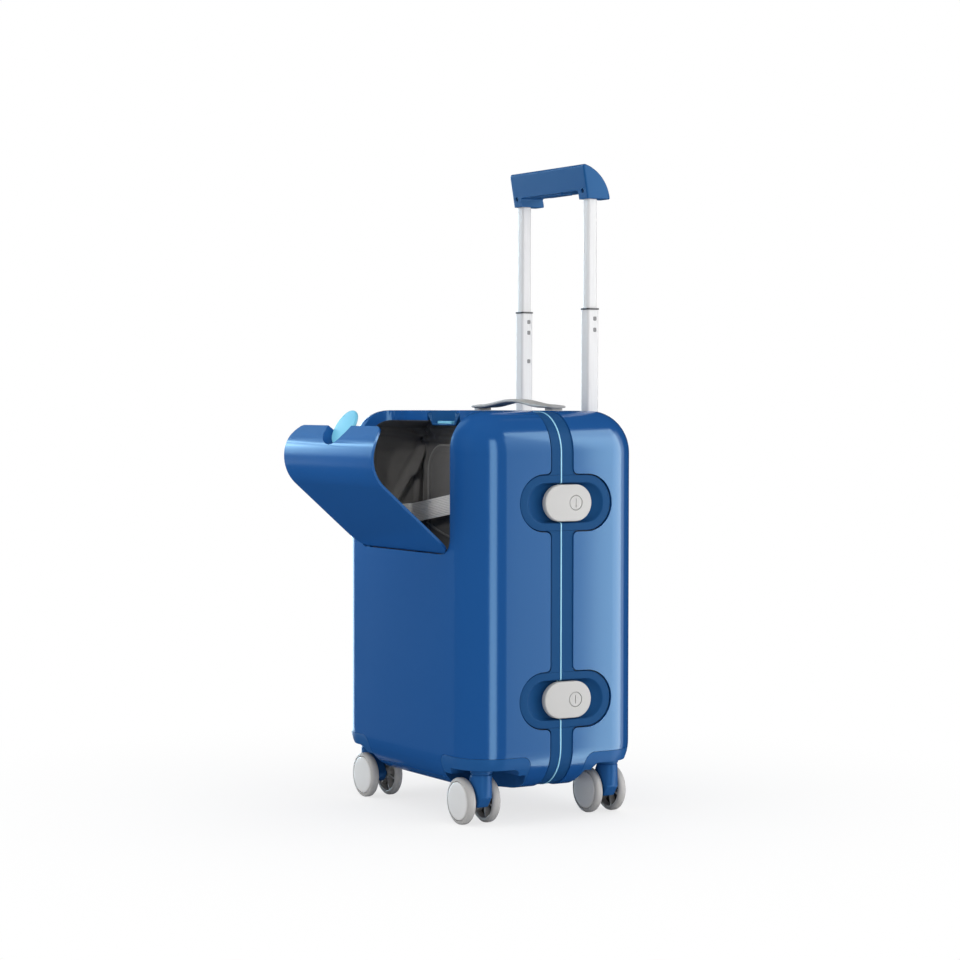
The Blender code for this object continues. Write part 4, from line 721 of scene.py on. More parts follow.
# Case hinges on the left side
def make_case_hinge(label, height):
    def knuckle(low, high):
        return rod(KNUCKLE_R, height + low, height + high, "z", CASE_AXIS, 32)

    def bore():
        return rod(CASE_PIN_R, 0, 600, "z", CASE_AXIS, 16)
    front = slab((LEAF_OUT, -10, height - KNUCKLE), (LEAF_IN, 0.7, height + KNUCKLE), "x", 1.0, 3)
    front = carve(front, adds=[knuckle(-KNUCKLE, KNUCKLE)], cuts=[bore()])
    rear = slab((LEAF_OUT, 3.3, height - LEAF_HALF), (LEAF_IN, 17, height + LEAF_HALF), "x", 3.0, 5)
    spans = ((KNUCKLE_GAP, LEAF_HALF), (-LEAF_HALF, -KNUCKLE_GAP))
    adds = [knuckle(*span) for span in spans]
    adds += [box((-170.5, CASE_AXIS[1], height + low), (-167.5, 5, height + high))
             for low, high in spans]
    gap = box((-300, -80, height - KNUCKLE_GAP), (-165.0, 5.4, height + KNUCKLE_GAP))
    rear = carve(rear, adds=adds, cuts=[bore(), gap])
    for half, mesh, body in (("front", front, "front_half"), ("rear", rear, "rear_case")):
        piece("hinge_leaf_%s_%s" % (half, label), soften(mesh, 0.4), band_look, body,
              "case_hinge_%s_leaf_%s" % (half, label))


# Hatch
def hatch_bowl():
    """The front half of the thumb dish, under the hatch's top edge."""
    outer, inset = DISH_R - HATCH_GAP, 1.2
    bowl = dish_rod(outer - DISH_DRAFT, DISH_FLOOR - 2, TOP, outer)
    keep = case(inset, -FACE_Y + inset, FRONT_BAND[0], FACE - inset)
    slot = box((-8.5, -130, 440), (8.5, -70, 472))
    return carve(bowl, cuts=[slot, box((-60, HATCH_BACK - HATCH_GAP, 440), (60, 0, 500))],
                 keep=keep)


def make_hatch():
    mesh = carve(front_wall(FRONT_BAND[0], WALL), keep=hatch_block(-HATCH_GAP, HINGE.z))
    cuts, ears = [dish_space()], []
    for side in (-1, 1):
        near, far = sorted((side * 88.0, side * 95.0))
        cuts.append(box((near, -115.3, 300), (far, -107, HINGE.z + 5.5)))
    mesh = soften(carve(mesh, adds=[hatch_bowl()], cuts=cuts), 1.3, 4)
    for side in (-1, 1):
        near, far = sorted((side * 8.5, side * 12.5))
        ear = box((near, -93.2, 466), (far, -86.8, 474.6))
        ears.append(carve(ear, adds=[rod(3.2, near, far, "x", THUMB_PIVOT, 24)]))
    mesh = opened(joined(mesh, rod(4.4, -88, 88, "x", HINGE, 32), *ears))
    piece("hatch_skin", mesh, shell_look, "hatch", "hatch_panel")
    disc = turned([(0, -1.9), (21.6, -1.9), (22.6, -1.4), (23.0, -0.4), (23.0, 0.6), (22.5, 1.6),
                   (21.4, 2.0), (0, 2.1)], 64)
    moved(rotated(disc, THUMB_TILT, "X"), (0, -59, 474))
    arm = soften(box((-7.8, -90, 463), (7.8, -74, 469)), 0.8)
    eye = rod(3.2, -7.8, 7.8, "x", THUMB_PIVOT, 32)
    piece("thumb_disc", opened(joined(disc, arm, eye)), accent_look, "hatch_button",
          "thumb_button")
    piece("thumb_disc_pin", opened(rod(1.2, -12.5, 12.5, "x", THUMB_PIVOT, 16)), steel_look,
          "hatch", "button_pin")
    piece("hatch_hinge_rod", rod(1.5, -94, 94, "x", HINGE, 16), steel_look, "front_half",
          "hatch_rod")


def make_catch():
    """The block under the top rim that holds the rear half of the thumb dish."""
    bottom, shoulder, under = DISH_FLOOR - 2, DISH_FLOOR + 10, TOP - 3.3
    points = [(-27, bottom), (27, bottom), (39, shoulder), (39, under), (-39, under),
              (-39, shoulder)]
    block = prism(points, "y", HATCH_BACK, -26.0)
    rim = dish_rod(DISH_R - 0.3, shoulder, TOP - 0.3)
    cuts = [dish_space(), box((-60, -140, 440), (60, HATCH_BACK, 500))]
    block = soften(carve(block, adds=[rim], cuts=cuts), 1.2, 4)
    piece("catch_housing", block, band_look, "front_half", "catch_dish")
    low = DISH_FLOOR + 0.3
    high = low + 3.0
    striker = slab((-17, -60, low), (17, -52, high), "z", 1.5, 4, ((high, 0.8),))
    piece("catch_striker_bar", striker, accent_look, "front_half", "catch_striker")


# Trolley
def tube_block(side, half, low, high, radius, steps=6):
    """A square block round a tube's axis."""
    x = side * TUBE_X
    return slab((x - half, TUBE_Y - half, low), (x + half, TUBE_Y + half, high), "z", radius,
                steps)


def tube(side, outer, wall, bottom, top, holes=()):
    mesh = tube_block(side, outer / 2, bottom, top, TUBE_ROUND)
    size = outer - 2 * wall
    cuts = [tube_block(side, size / 2, bottom - 50, top + 50,
                       max(TUBE_ROUND - (outer - size) / 2, 0.7))]
    for height in holes:
        face = side * TUBE_X + outer / 2
        cuts.append(slab((face - 2.4, TUBE_Y - 0.4, height - 2.6),
                         (face + 5, TUBE_Y + 4.4, height + 2.6), "x", 1.2, 4))
    return carve(mesh, cuts=cuts)


def make_trolley():
    for side, label in SIDES:
        piece("sleeve_%s_tube" % label, tube(side, SLEEVE, TUBE_WALL, *SLEEVE_Z), black_plastic_and_shade_look,
              "rear_case", "trolley_sleeve_" + label)
        holes = LOCK_HOLES + ([LEFT_LOCK_HOLE] if side < 0 else [])
        piece("lower_stage_" + label, tube(side, LOWER_TUBE, TUBE_WALL, *LOWER_Z, holes),
              tube_look, "lower_stage", "lower_tube_" + label, 50)
        # Each lock hole is closed just inside by a thin dark grey plate: painted shade in the hole.
        for index, height in enumerate(holes):
            x = side * TUBE_X + 6.9
            dot = slab((x - 0.3, TUBE_Y - 0.3, height - 2.5), (x + 0.4, TUBE_Y + 4.3, height + 2.5),
                       "x", 1.1, 4)
            piece("tube_lock_dot_%s_%d" % (label, index), dot, hole_shade_look, "lower_stage")
        collar = soften(tube(side, COLLAR, 1.9, *COLLAR_Z), 0.3, 2)
        piece("stage_collar_" + label, collar, black_plastic_and_shade_look, "lower_stage", "tube_collar_" + label,
              50)
        piece("upper_stage_" + label, tube(side, UPPER_TUBE, TUBE_WALL, *UPPER_Z), tube_look,
              "upper_stage", "upper_tube_" + label, 50)
        screw = turned([(0, -0.2), (0.9, 0.1), (1.7, 1.2), (2.5, 1.3), (2.55, 0.9), (2.5, -4),
                        (0, -4)], 24)
        mirrored(turn_to_axis(screw, "y"), 1, -1)
        piece("grip_screw_head_" + label, moved(screw, (side * TUBE_X, 91.6, SCREW_Z)),
              steel_look, "upper_stage", "grip_screw_" + label)


def make_bezel():
    mesh = case(0.0, -FACE_Y, FACE_Y, FACE, FACE)
    mesh = carve(mesh, keep=slab((-97, 87, 453), (97, 113, TOP + FAR), "z", 6.0, 6))
    mesh = carve(mesh, cuts=[tube_block(side, 8.4, 0, 600, 3.0) for side in (-1, 1)])
    piece("bezel_plate", soften(mesh, 0.8, 3), band_look, "rear_case", "trolley_bezel")


def grip_outline():
    """The grip's side view: a leaning front, a rounded crest, and a back that bulges downwards."""
    crest, heel, bulge = Vector((87.0, 778.5)), Vector((123.0, 739.0)), 8.0
    chord = heel - crest
    along_chord = chord.normalized()
    outward = Vector((-along_chord.y, along_chord.x))
    radius = (chord.length_squared / 4 + bulge ** 2) / (2 * bulge)
    centre = (crest + heel) / 2 - outward * (radius - bulge)
    spread = math.asin(chord.length / 2 / radius)
    points = [(90.5, 737.0), (121.4, 737.0), (122.5, 737.4)]
    for step in range(25):
        angle = spread * (1 - step / 12)
        points.append(tuple(centre + radius * (outward * math.cos(angle)
                                               + along_chord * math.sin(angle))))
    return points + [(85.9, 778.3), (84.9, 777.5), (84.3, 776.4), (84.0, 775.0)]


def make_grip():
    mesh = prism(grip_outline(), "x", -GRIP_HALF, GRIP_HALF)
    ends = in_plane(mesh.edges, "x", -GRIP_HALF) + in_plane(mesh.edges, "x", GRIP_HALF)
    round_edges(mesh, ends, 2.2, 4)
    cuts = [slab((-66.2, 0, 600), (66.2, 200, 748), "y", 3.0, 4)]
    for side in (-1, 1):
        cuts.append(tube_block(side, 6.8, 700, 752, 2.6, 4))
        cuts.append(rod(2.9, 0, TUBE_Y, "y", (side * TUBE_X, 0, SCREW_Z), 24))
        cuts.append(rod(2.5, 737, 757, "z", (side * TUBE_X, TUBE_Y, 0), 16))
    cuts.append(slab((-25.5, TUBE_Y - 8.5, 700), (25.5, TUBE_Y + 8.5, 758), "z", 2.3, 4))
    mesh = soften(carve(mesh, cuts=cuts), 0.8, 3, 38)
    piece("grip_handle", mesh, grip_look, "upper_stage", "grip")
    trigger = slab((-25, TUBE_Y - 8, 745.5), (25, TUBE_Y + 8, 754), "z", 2.0, 4, ((745.5, 1.0),))
    piece("release_trigger_bar", trigger, grip_look, "release", "release_trigger")


# Carry handle
def squared(value, power):
    """Pushes a sine or cosine towards a squarer corner."""
    return math.copysign(abs(value) ** power, value)


def make_carry_handle():
    """A flexible strap: flat ends on small feet, and a shallow arch between."""
    count, around = 72, 28
    half_length, half_width, thick, arch, end_r = 94.0, 13.0, 4.4, 72.0, 6.0
    middle_y, base = 43.6, TOP + 3.3
    rings = []
    for i in range(count + 1):
        x = -half_length + 2 * half_length * i / count
        bend = math.cos(math.radians(90) * min(abs(x) / arch, 1.0))
        lift = 6.5 * bend ** 2
        inset = max(0.0, abs(x) - (half_length - end_r))
        width = half_width - (end_r - math.sqrt(max(0.0, end_r * end_r - inset * inset)))
        width *= 1.0 - 0.10 * bend
        deep = thick * (1.0 - 0.36 * max(0.0, abs(x) - arch) / (half_length - arch))
        angles = [2 * math.pi * j / around for j in range(around)]
        rings.append([(x, middle_y + squared(math.cos(a), 0.35) * width,
                       base + deep / 2 + lift + squared(math.sin(a), 0.55) * deep / 2)
                      for a in angles])
    feet = []
    for side in (-1, 1):
        near, far = sorted((side * 76.0, side * 91.0))
        feet.append(slab((near, 34.6, TOP + 0.3), (far, 52.6, base + 0.4), "z", 3.0, 4))
    piece("carry_strap", joined(lofted(rings), *feet), handle_look, "rear_case", "carry_handle",
          50)


# Casters
def make_caster(label, side_x, side_y):
    body = "front_half" if side_y < 0 else "rear_case"
    place = (side_x * CASTER_X, side_y * CASTER_Y, 0)
    shell = case(0.0, -FACE_Y, FACE_Y, FACE, FACE)
    mesh = carve(shell, keep=pocket_block(side_x, side_y, 0.0))
    mouth = box((105, 50, -FAR), (SIDE + FAR, FACE_Y + FAR, 66))
    round_edges(mouth, list(mouth.edges), 9, 6)
    cuts = [rod(WELL_R, 0, WELL_TOP, "z", place, 96), mirrored(mouth, side_x, side_y),
            rod(5.3, 30, 76, "z", place, 24)]
    mesh = soften(carve(mesh, cuts=cuts), 1.0, 3)
    piece("housing_" + label, mesh, caster_look, body, "caster_housing_" + label)
    trail = -side_x * CASTER_TRAIL
    collar = turned([(0, 60.9), (12.3, 60.9), (12.8, 61.3), (13.0, 61.9), (13.0, 64.6),
                     (12.6, 65.3), (5.0, 65.5), (5.0, 75.6), (0, 75.6)])
    neck = rod(11.4, 59.0, 62.0, "z", (0, 0, 0), 48)
    axle = rod(2.8, -19, 19, "y", (trail, 0, WHEEL_R), 24)
    fork = moved(joined(fork_solid(trail), collar, neck, axle), place)
    piece("fork_" + label, fork, caster_look, "caster_" + label, "caster_fork_" + label, 50)
    for tag, side in (("a", -1), ("b", 1)):
        make_wheel("wheel_%s_%s" % (label, tag), side,
                   Vector((side_x * (CASTER_X - CASTER_TRAIL),
                           side_y * CASTER_Y + side * WHEEL_APART, WHEEL_R)))


def fork_solid(trail):
    """The hooded leg from the collar to the axle, upright on the side away from the wheels."""
    ahead, half = -math.copysign(1.0, trail), 7.5
    points = []
    for y in (-half, half):
        points += [(ahead * 11.5, y, 33.0), (ahead * 3.5, y, 21.5)]
    for step in range(40):
        angle = math.radians(9) * step
        x, y = STEM_R * math.cos(angle), STEM_R * math.sin(angle)
        end_x = trail + AXLE_END_R * math.cos(angle)
        end_z = WHEEL_R + AXLE_END_R * math.sin(angle)
        points += [(x, y, 60.0), (x, y, 57.0), (end_x, -half, end_z), (end_x, half, end_z)]
    mesh = bmesh.new()
    hull = bmesh.ops.convex_hull(mesh, input=[mesh.verts.new(p) for p in points])
    spare = {v for v in hull["geom_interior"] + hull["geom_unused"]
             if isinstance(v, bmesh.types.BMVert)}
    bmesh.ops.delete(mesh, geom=list(spare), context="VERTS")
    bmesh.ops.dissolve_limit(mesh, angle_limit=math.radians(1.5), verts=mesh.verts,
                             edges=mesh.edges)
    return soften(mesh, 1.4, 4, 32)


def make_wheel(name, side, centre):
    """Tyre, cap and spoked back of one wheel; its axis is Y, its cap faces away from the fork."""
    tyre = turned([(22.9, 3.9), (23.3, 4.7), (24.2, 4.8), (25.6, 4.3), (26.8, 3.2), (27.4, 1.9),
                   (27.5, 0.5), (27.5, -2.0), (27.1, -3.6), (25.9, -5.0), (24.6, -5.45),
                   (22.6, -5.4), (21.9, -5.0), (21.4, -2.0), (21.4, 3.0), (22.9, 3.0)], 96, True)
    cap = turned([(0, 5.5), (17.0, 5.45), (20.6, 5.3), (21.8, 5.0), (22.3, 4.4), (22.4, 3.6),
                  (22.4, 3.0), (0, 3.0)], 96)
    hub = turned([(3.1, -5.4), (6.6, -5.4), (7.0, -5.0), (7.2, -1.5), (7.2, 3.0), (3.1, 3.0)],
                 40, True)
    spokes = [rotated(box((6.6, -1.1, -4.0), (21.6, 1.1, 3.0)), 60 * index + 15, "Z")
              for index in range(6)]
    # A thin black disc at the bottom of the spoke recesses: painted shade that darkens them.
    recess_shade = turned([(7.0, 2.4), (21.5, 2.4), (21.5, 3.0), (7.0, 3.0)], 48, True)
    for suffix, mesh, look, node, crease in (
            ("_tyre", tyre, tyre_look, name, 40),
            ("_cap", cap, cap_look, None, 40),
            ("_back", joined(hub, *spokes), tyre_look, None, 40),
            ("_web", recess_shade, black_plastic_and_shade_look, None, 35)):
        mesh = moved(rotated(mesh, -90 * side, "X"), centre)
        piece(name + suffix, mesh, look, name, node, crease, slot="wheel")


# Lining, divider and strap
def lining_shell(front, back, front_r, back_r, open_plane, side_y):
    mesh = case(LINING_INSET, front, back, front_r, back_r, (12, 8))
    return carve(walled(mesh, open_plane, LINING_THICK), cuts=pocket_cuts(side_y, 1.0, 4))


def fold_lift(a, b, folds):
    """How far cloth stands off its wall at a point, from a list of folds with soft creases."""
    lift = 0.0
    for a0, b0, a1, b1, width, height in folds:
        run = Vector((a1 - a0, b1 - b0))
        away = Vector((a - a0, b - b0))
        part = away.dot(run) / run.length_squared
        fade = max(0.0, 1.0 - (2.0 * max(0.0, abs(part - 0.5) - 0.5)) ** 2 * 16)
        side = (run.x * away.y - run.y * away.x) / run.length
        lift += fade * height * math.exp(-(side / width) ** 2)
        lift -= fade * height * 0.3 * math.exp(-((side + 1.5 * width) / (0.5 * width)) ** 2)
    return lift + 0.35 * math.sin(a * 0.11 + b * 0.05) * math.sin(b * 0.09 - a * 0.03)


def cloth_panel(spans, counts, folds, place, thick=0.8):
    """A thin closed panel on a grid, lifted by folds; place(a, b, lift) gives each point."""
    (a_low, a_high), (b_low, b_high) = spans
    mesh = bmesh.new()
    sheets = []
    for back in (0.0, thick):
        rows = []
        for i in range(counts[0] + 1):
            a = a_low + (a_high - a_low) * i / counts[0]
            row = []
            for j in range(counts[1] + 1):
                b = b_low + (b_high - b_low) * j / counts[1]
                lift = max(0.0, fold_lift(a, b, folds) + 0.4)
                row.append(mesh.verts.new(place(a, b, lift + back)))
            rows.append(row)
        sheets.append(rows)
    low, high = sheets
    strips = [pair for rows in sheets for pair in zip(rows, rows[1:])]
    strips += [([r[end] for r in low], [r[end] for r in high]) for end in (0, -1)]
    strips += [(low[0], high[0]), (low[-1], high[-1])]
    for one, other in strips:
        for k in range(len(one) - 1):
            mesh.faces.new((one[k], one[k + 1], other[k + 1], other[k]))
    bmesh.ops.recalc_face_normals(mesh, faces=mesh.faces)
    return mesh


# Folds in millimetres: from (along, up) to (along, up), width, height
WALL_FOLDS = (
    (-98, 457, 4, 449, 3.6, 6.5), (-92, 438, -16, 441, 7.0, 3.5), (-28, 466, 4, 447, 4.0, 5.0),
    (6, 452, -20, 403, 4.2, 8.0), (-18, 408, -64, 336, 5.0, 7.5), (-8, 436, -12, 360, 3.6, 4.5),
    (-96, 402, -44, 352, 8.0, 4.5), (-6, 332, -72, 288, 7.0, 4.5), (-98, 300, -20, 330, 8.0, 3.5),
    (-60, 280, -12, 200, 8.0, 3.0), (-95, 210, -30, 180, 9.0, 3.0), (-70, 150, -14, 110, 8.0, 3.0))
COVER_FOLDS = (
    (-152, 446, 152, 449, 4.0, 4.5), (-152, 458, 152, 455, 6.0, 3.0),
    (-147, 60, -147, 446, 3.0, 3.2), (147, 60, 147, 446, 3.0, 3.2),
    (-150, 468, -118, 450, 4.0, 3.0), (150, 468, 118, 450, 4.0, 3.0))


def make_linings():
    mesh = lining_shell(-105.2, 0.0, 33.2, 0.0, 0.0, -1)
    dish = box((-42, -62, 451), (42, -23, 500))
    mesh = carve(mesh, cuts=[hatch_block(2.0, HATCH_BOTTOM - 2), dish])
    cloth("front_lining_cloth", mesh, lining_look, (0.62, 0.34), "front_shell_skin",
          "front_lining")
    cloth("rear_lining_cloth", lining_shell(4.0, 85.0, 0.0, 18.0, 4.0, 1), lining_look,
          (0.64, 0.36), "rear_shell_skin", "rear_lining")
    lower_turn, upper_turn = CLOTH_TURN
    for side, label in SIDES:
        def on_wall(a, b, lift, side=side):
            rise = max(0.0, b - upper_turn)
            turn = WALL_CLOTH_R - math.sqrt(WALL_CLOTH_R ** 2 - rise ** 2)
            return side * (WALL_CLOTH_X - turn - lift), a, b
        mesh = cloth_panel(((-71, -2.6), (128, 460)), (36, 166), WALL_FOLDS, on_wall)
        cloth("side_cloth_" + label, mesh, lining_look, (0.070, 0.338), "front_lining_cloth",
              crease=180, weighted=False)

    def on_divide(a, b, lift):
        rise = max(0.0, b - upper_turn, lower_turn - b)
        half = COVER_HALF - COVER_R + 0.6 + math.sqrt(COVER_R ** 2 - rise ** 2)
        return a / COVER_HALF * half, -0.9 - lift, b
    cover = cloth_panel(((-COVER_HALF, COVER_HALF), (51, 468)), (120, 200), COVER_FOLDS, on_divide)
    cloth("divider_cover_cloth", cover, lining_look, (0.312, 0.418), "front_lining_cloth",
          crease=180, weighted=False)


def rounded_frame(half, low, high, radius, inset, y, steps=10):
    """Points of a rounded rectangle across Y, set in by the inset."""
    points = []
    corner = max(radius - inset, 2.0)
    right, bottom, top = half - inset - corner, low + inset + corner, high - inset - corner
    for cx, cz, start in ((right, top, 0), (-right, top, 90), (-right, bottom, 180),
                          (right, bottom, 270)):
        for step in range(steps + 1):
            angle = math.radians(start + 90 * step / steps)
            points.append((cx + corner * math.cos(angle), y, cz + corner * math.sin(angle)))
    return points


def make_divider():
    rings = ((0.0, -2.9), (0.0, -4.4), (0.8, -5.2), (3.5, -5.9), (6.4, -6.2), (7.4, -5.6),
             (8.4, -6.2), (14.0, -6.7), (24.0, -7.0))
    mesh = lofted([rounded_frame(*DIVIDER, inset, y) for inset, y in rings])
    divider = piece("divider_panel", mesh, lining_look, "front_half", "divider", 60)
    angles = [math.radians(a) for a in range(0, 360, 45)]
    edging_r, hem_r, half, hem_z, sag, steps = 1.3, 1.5, 136.0, 339.0, 24.0, 40
    edging = lofted([rounded_frame(*DIVIDER, -0.4 - edging_r * math.cos(a),
                                   -4.2 + edging_r * math.sin(a)) for a in angles], closed=True)
    hem = []
    for step in range(steps + 1):
        x = -half + 2 * half * step / steps
        z = hem_z - sag * (1.0 - (x / half) ** 2)
        hem.append([(x, -6.9 + hem_r * math.cos(a), z + hem_r * math.sin(a)) for a in angles])
    piping = piece("divider_piping", joined(edging, lofted(hem)), piping_look, "front_half",
                   crease=180)


def make_strap():
    """The elastic strap: across the divider, round the corner and along the left wall."""
    steps, half_thick = 20, 0.6
    path = [(STRAP_WALL_X, y) for y in (-72.0, -60.0, -48.0, -36.0, -27.0)]
    path += [(-152.6, -23.6), (-150.8, -21.6)]
    path += [(STRAP_TURN_X + STRAP_RUN * step / steps, STRAP_Y) for step in range(steps + 1)]
    rings = []
    for index, (x, y) in enumerate(path):
        before, after = path[max(index - 1, 0)], path[min(index + 1, len(path) - 1)]
        ahead = (Vector(after) - Vector(before)).normalized()
        out = Vector((-ahead.y, ahead.x)) * half_thick
        level = x if y >= STRAP_Y - 0.1 else STRAP_TURN_X - 0.5 * (abs(y) + STRAP_Y)
        middle = STRAP_LEFT_Z + STRAP_SLOPE * level
        rings.append([(x + sign * out.x, y + sign * out.y, middle + rise) for sign, rise in
                      ((-1, -STRAP_HALF), (-1, STRAP_HALF), (1, STRAP_HALF), (1, -STRAP_HALF))])
    cloth("packing_webbing", lofted(rings), elastic_look, (0.0246, 0.356), "front_lining_cloth",
          "packing_strap")


# Stage, lights and camera
FLOOR_R, FADE_FROM, FADE_TO, FADE_NEAR = 6.0, 0.25, 0.85, 0.72


def make_stage():
    """A pale round floor that fades into the white background away from the case."""
    mesh = bmesh.new()
    bmesh.ops.create_circle(mesh, cap_ends=True, segments=96, radius=FLOOR_R)
    floor = add_object("floor", mesh_data("floor", mesh))
    material, tree, shader, place = new_material("pale_floor", {
        "Base Color": (0.92, 0.92, 0.92, 1.0), "Roughness": 0.9, "Specular IOR Level": 0.0})
    distance = add_node(tree, "VectorMath", {0: place}, operation="LENGTH").outputs["Value"]
    fade = add_node(tree, "MapRange", {
        "Value": distance, "From Min": FADE_FROM, "From Max": FADE_TO, "To Min": FADE_NEAR},
        interpolation_type="SMOOTHSTEP").outputs["Result"]
    seen = add_node(tree, "LightPath").outputs["Is Camera Ray"]
    white = add_node(tree, "Emission").outputs["Emission"]
    mix = add_node(tree, "MixShader", {
        "Fac": math_node(tree, "MULTIPLY", fade, seen), 1: shader.outputs["BSDF"], 2: white})
    feed(tree, tree.nodes["Material Output"], {"Surface": mix.outputs["Shader"]})
    floor.data.materials.append(material)
    floor.visible_glossy = False


def aimed(name, data, power, place, target):
    data.energy = power
    obj = add_object(name, data)
    obj.location = place
    obj.rotation_euler = (Vector(target) - Vector(place)).to_track_quat("-Z", "Y").to_euler()
    return obj


def lamp(name, place, target, size, power, mirror_only=False):
    data = bpy.data.lights.new(name, "AREA")
    data.shape = "RECTANGLE"
    data.size, data.size_y = size
    obj = aimed(name, data, power, place, target)
    obj.visible_camera = False
    obj.visible_glossy = mirror_only
    obj.visible_diffuse = not mirror_only


def opening_lamp(place, target, power):
    """A narrow spot through the hatch opening, so that the lining can be seen."""
    data = bpy.data.lights.new("opening_spot", "SPOT")
    data.spot_size = math.radians(15)
    data.spot_blend = 0.6
    data.shadow_soft_size = 0.06
    aimed("opening_spot", data, power, place, target).visible_glossy = False


def softbox_group():
    """A soft-edged bright patch of the sky, by azimuth and elevation in degrees."""
    group, given, out = new_group(
        "softbox_patch",
        {"Azimuth": 0.0, "Elevation": 0.0, "Middle": 0.0, "Half Width": 20.0, "Height": 0.0,
         "Half Height": 20.0, "Edge": 5.0, "Strength": 1.0}, ("Strength",))
    parts = []
    for place, middle, half in (("Azimuth", "Middle", "Half Width"),
                                ("Elevation", "Height", "Half Height")):
        away = math_node(group, "SUBTRACT", given[place], given[middle])
        if place == "Azimuth":
            away = math_node(group, "WRAP", away, 180.0, -180.0)
        inside = math_node(group, "SUBTRACT", given[half], math_node(group, "ABSOLUTE", away))
        share = math_node(group, "DIVIDE", inside, given["Edge"])
        ramp = add_node(group, "MapRange", {"Value": share}, interpolation_type="SMOOTHSTEP")
        parts.append(ramp.outputs["Result"])
    both = math_node(group, "MULTIPLY", *parts)
    feed(group, out, {"Strength": math_node(group, "MULTIPLY", both, given["Strength"])})
    return group


DIM_REFLECTION = (0.012, 0.035, 0.08)
AMBIENT = 0.78
SOFTBOX_TINTS = {"white": (1.0, 1.0, 1.0), "cool": (0.50, 0.80, 1.0), "pale": (0.75, 0.92, 1.0)}
SOFTBOX_LABELS = ("Middle", "Half Width", "Height", "Half Height", "Edge", "Strength")
# Reflected softboxes: name, tint, then a value for each label, with the angles in degrees
SOFTBOXES = (
    ("corner_strip", "white", -13.0, 13.0, 0.0, 40.0, 5.0, 5.4),
    ("side_sheet", "white", 57.0, 31.0, 0.0, 40.0, 7.0, 2.1),
    ("front_low_sky", "cool", -172.0, 18.0, 9.5, 10.0, 4.0, 9.5),
    ("front_high_sky", "cool", -168.0, 15.0, 32.0, 16.0, 6.0, 0.7),
    ("left_rim_sheet", "pale", 180.0, 23.0, 2.0, 15.0, 5.0, 6.0),
)


def make_world():
    """White to the camera; reflections see softboxes; everything else gets an even soft light."""
    world = bpy.data.worlds.new("studio")
    bpy.context.scene.world = world
    world.use_nodes = True
    tree = world.node_tree
    tree.nodes.clear()

    def background(colour, strength=1.0):
        node = add_node(tree, "Background", {"Color": (*colour, 1.0), "Strength": strength})
        return node.outputs[0]

    def mixed(share, first, second):
        return add_node(tree, "MixShader", {"Fac": share, 1: first, 2: second}).outputs[0]
    rays = add_node(tree, "LightPath").outputs
    place = add_node(tree, "TexCoord").outputs["Generated"]
    split = add_node(tree, "SeparateXYZ", {0: place}).outputs
    angles = {
        "Azimuth": math_node(tree, "DEGREES", math_node(tree, "ARCTAN2", split["Y"], split["X"])),
        "Elevation": math_node(tree, "DEGREES", math_node(tree, "ARCSINE", split["Z"]))}
    patch = softbox_group()
    totals = {}
    for name, tint, *values in SOFTBOXES:
        amount = add_node(tree, "Group", {**angles, **dict(zip(SOFTBOX_LABELS, values))},
                          node_tree=patch, name=name).outputs["Strength"]
        if tint in totals:
            amount = math_node(tree, "MAXIMUM", totals[tint], amount)
        totals[tint] = amount
    mirror = background(DIM_REFLECTION)
    for tint, total in totals.items():
        glow = background(SOFTBOX_TINTS[tint], total)
        mirror = add_node(tree, "AddShader", {0: mirror, 1: glow}).outputs[0]
    white = SOFTBOX_TINTS["white"]
    unseen = mixed(rays["Is Glossy Ray"], background(white, AMBIENT), mirror)
    seen = math_node(tree, "MAXIMUM", rays["Is Camera Ray"], rays["Is Transmission Ray"])
    add_node(tree, "OutputWorld", {"Surface": mixed(seen, unseen, background(white))})
    world.cycles.sampling_method = "NONE"


# Camera: place from the middle of the case in metres, angles in degrees, focal length in pixels
CAMERA_PLACE = Vector((2.58879, -1.53688, 0.49036))
CAMERA_AZIMUTH, CAMERA_DOWN, CAMERA_ROLL = 59.46, 1.792, 0.083
FOCAL_PIXELS, PHOTO_PIXELS, SENSOR = 2466.09, 960, 36.0


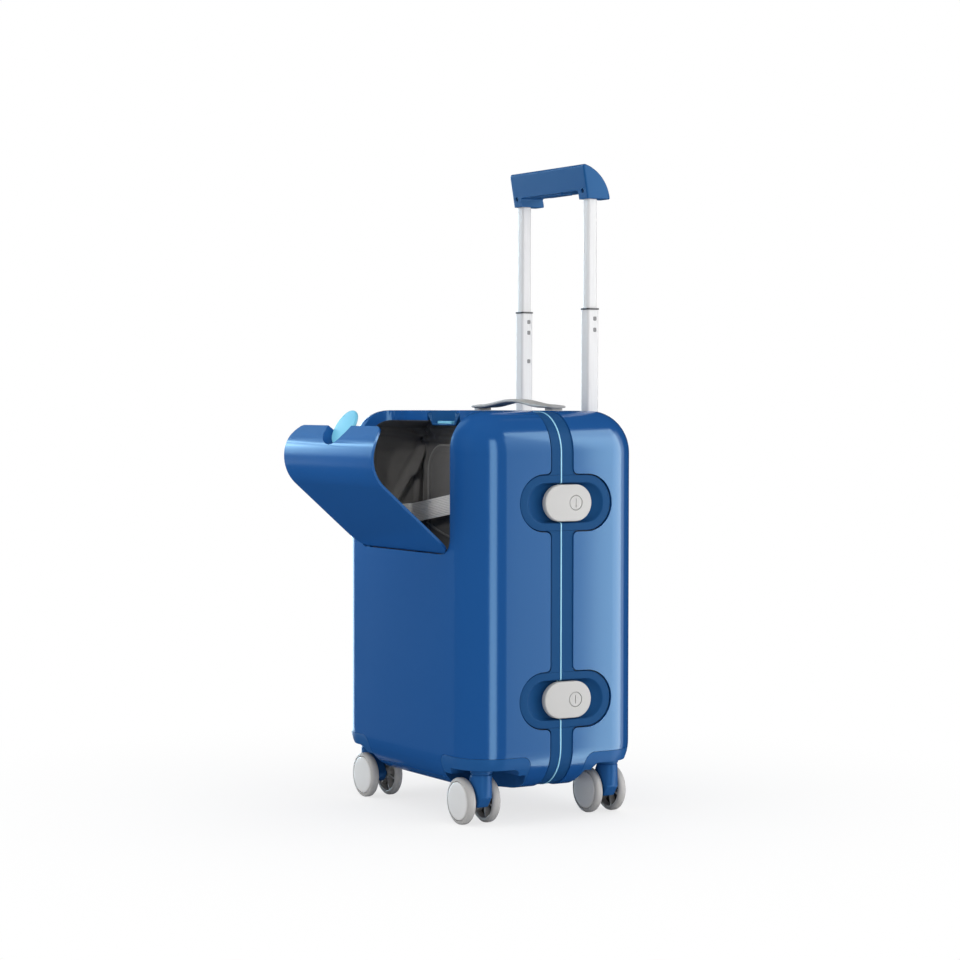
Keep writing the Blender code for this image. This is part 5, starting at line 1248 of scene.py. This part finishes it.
def make_camera():
    data = bpy.data.cameras.new("camera")
    camera = add_object("camera", data)
    azimuth, down, roll = map(math.radians, (CAMERA_AZIMUTH, CAMERA_DOWN, CAMERA_ROLL))
    ahead = Vector((-math.sin(azimuth) * math.cos(down), math.cos(azimuth) * math.cos(down),
                    -math.sin(down)))
    level = Vector((math.cos(azimuth), math.sin(azimuth), 0))
    upright = level.cross(ahead)
    right = level * math.cos(roll) + upright * math.sin(roll)
    up = upright * math.cos(roll) - level * math.sin(roll)
    turn = Matrix((right, up, -ahead)).transposed()
    camera.matrix_world = Matrix.Translation(CENTRE + CAMERA_PLACE) @ turn.to_4x4()
    data.sensor_width = SENSOR
    data.lens = FOCAL_PIXELS / PHOTO_PIXELS * SENSOR
    data.clip_end = 50
    bpy.context.scene.camera = camera


# Assembly
make_camera()
make_world()
make_stage()
lamp("right_panel", (2.4, 0.9, 1.3), (0, 0, 0.3), (1.8, 1.8), 12)
lamp("front_panel", (-0.4, -2.6, 1.4), (0, 0, 0.3), (1.8, 1.8), 14)
lamp("top_panel", (0.2, -0.2, 2.8), (0, 0, 0), (2.2, 2.2), 14)
opening_lamp((0.75, -1.15, 1.10), (-0.13, 0.020, 0.42), 27.0)
lamp("near_side_panel", (0.505, 0.545, 0.30), (0.0, 0.05, 0.30), (0.40, 1.7), 13.0,
     mirror_only=True)
make_front_shell()
make_rear_shell()
make_band()
for tag, level in zip(("upper", "lower"), LATCH_Z):
    make_latch(tag, level)
    make_case_hinge(tag, level)
make_hatch()
make_catch()
make_trolley()
make_bezel()
make_grip()
make_carry_handle()
for end, sy in (("front", -1), ("rear", 1)):
    for sx, label in SIDES:
        make_caster("%s_%s" % (end, label), sx, sy)
make_linings()
make_divider()
make_strap()
for name in ("latch_pin_upper", "latch_pin_lower", "case_hinge_pin_upper",
             "case_hinge_pin_lower", "release_link"):
    node = frame["nodes"][name]
    node.data.materials.clear()
    node.data.materials.append(steel_look)

bpy.context.scene.view_settings.view_transform = "Standard"
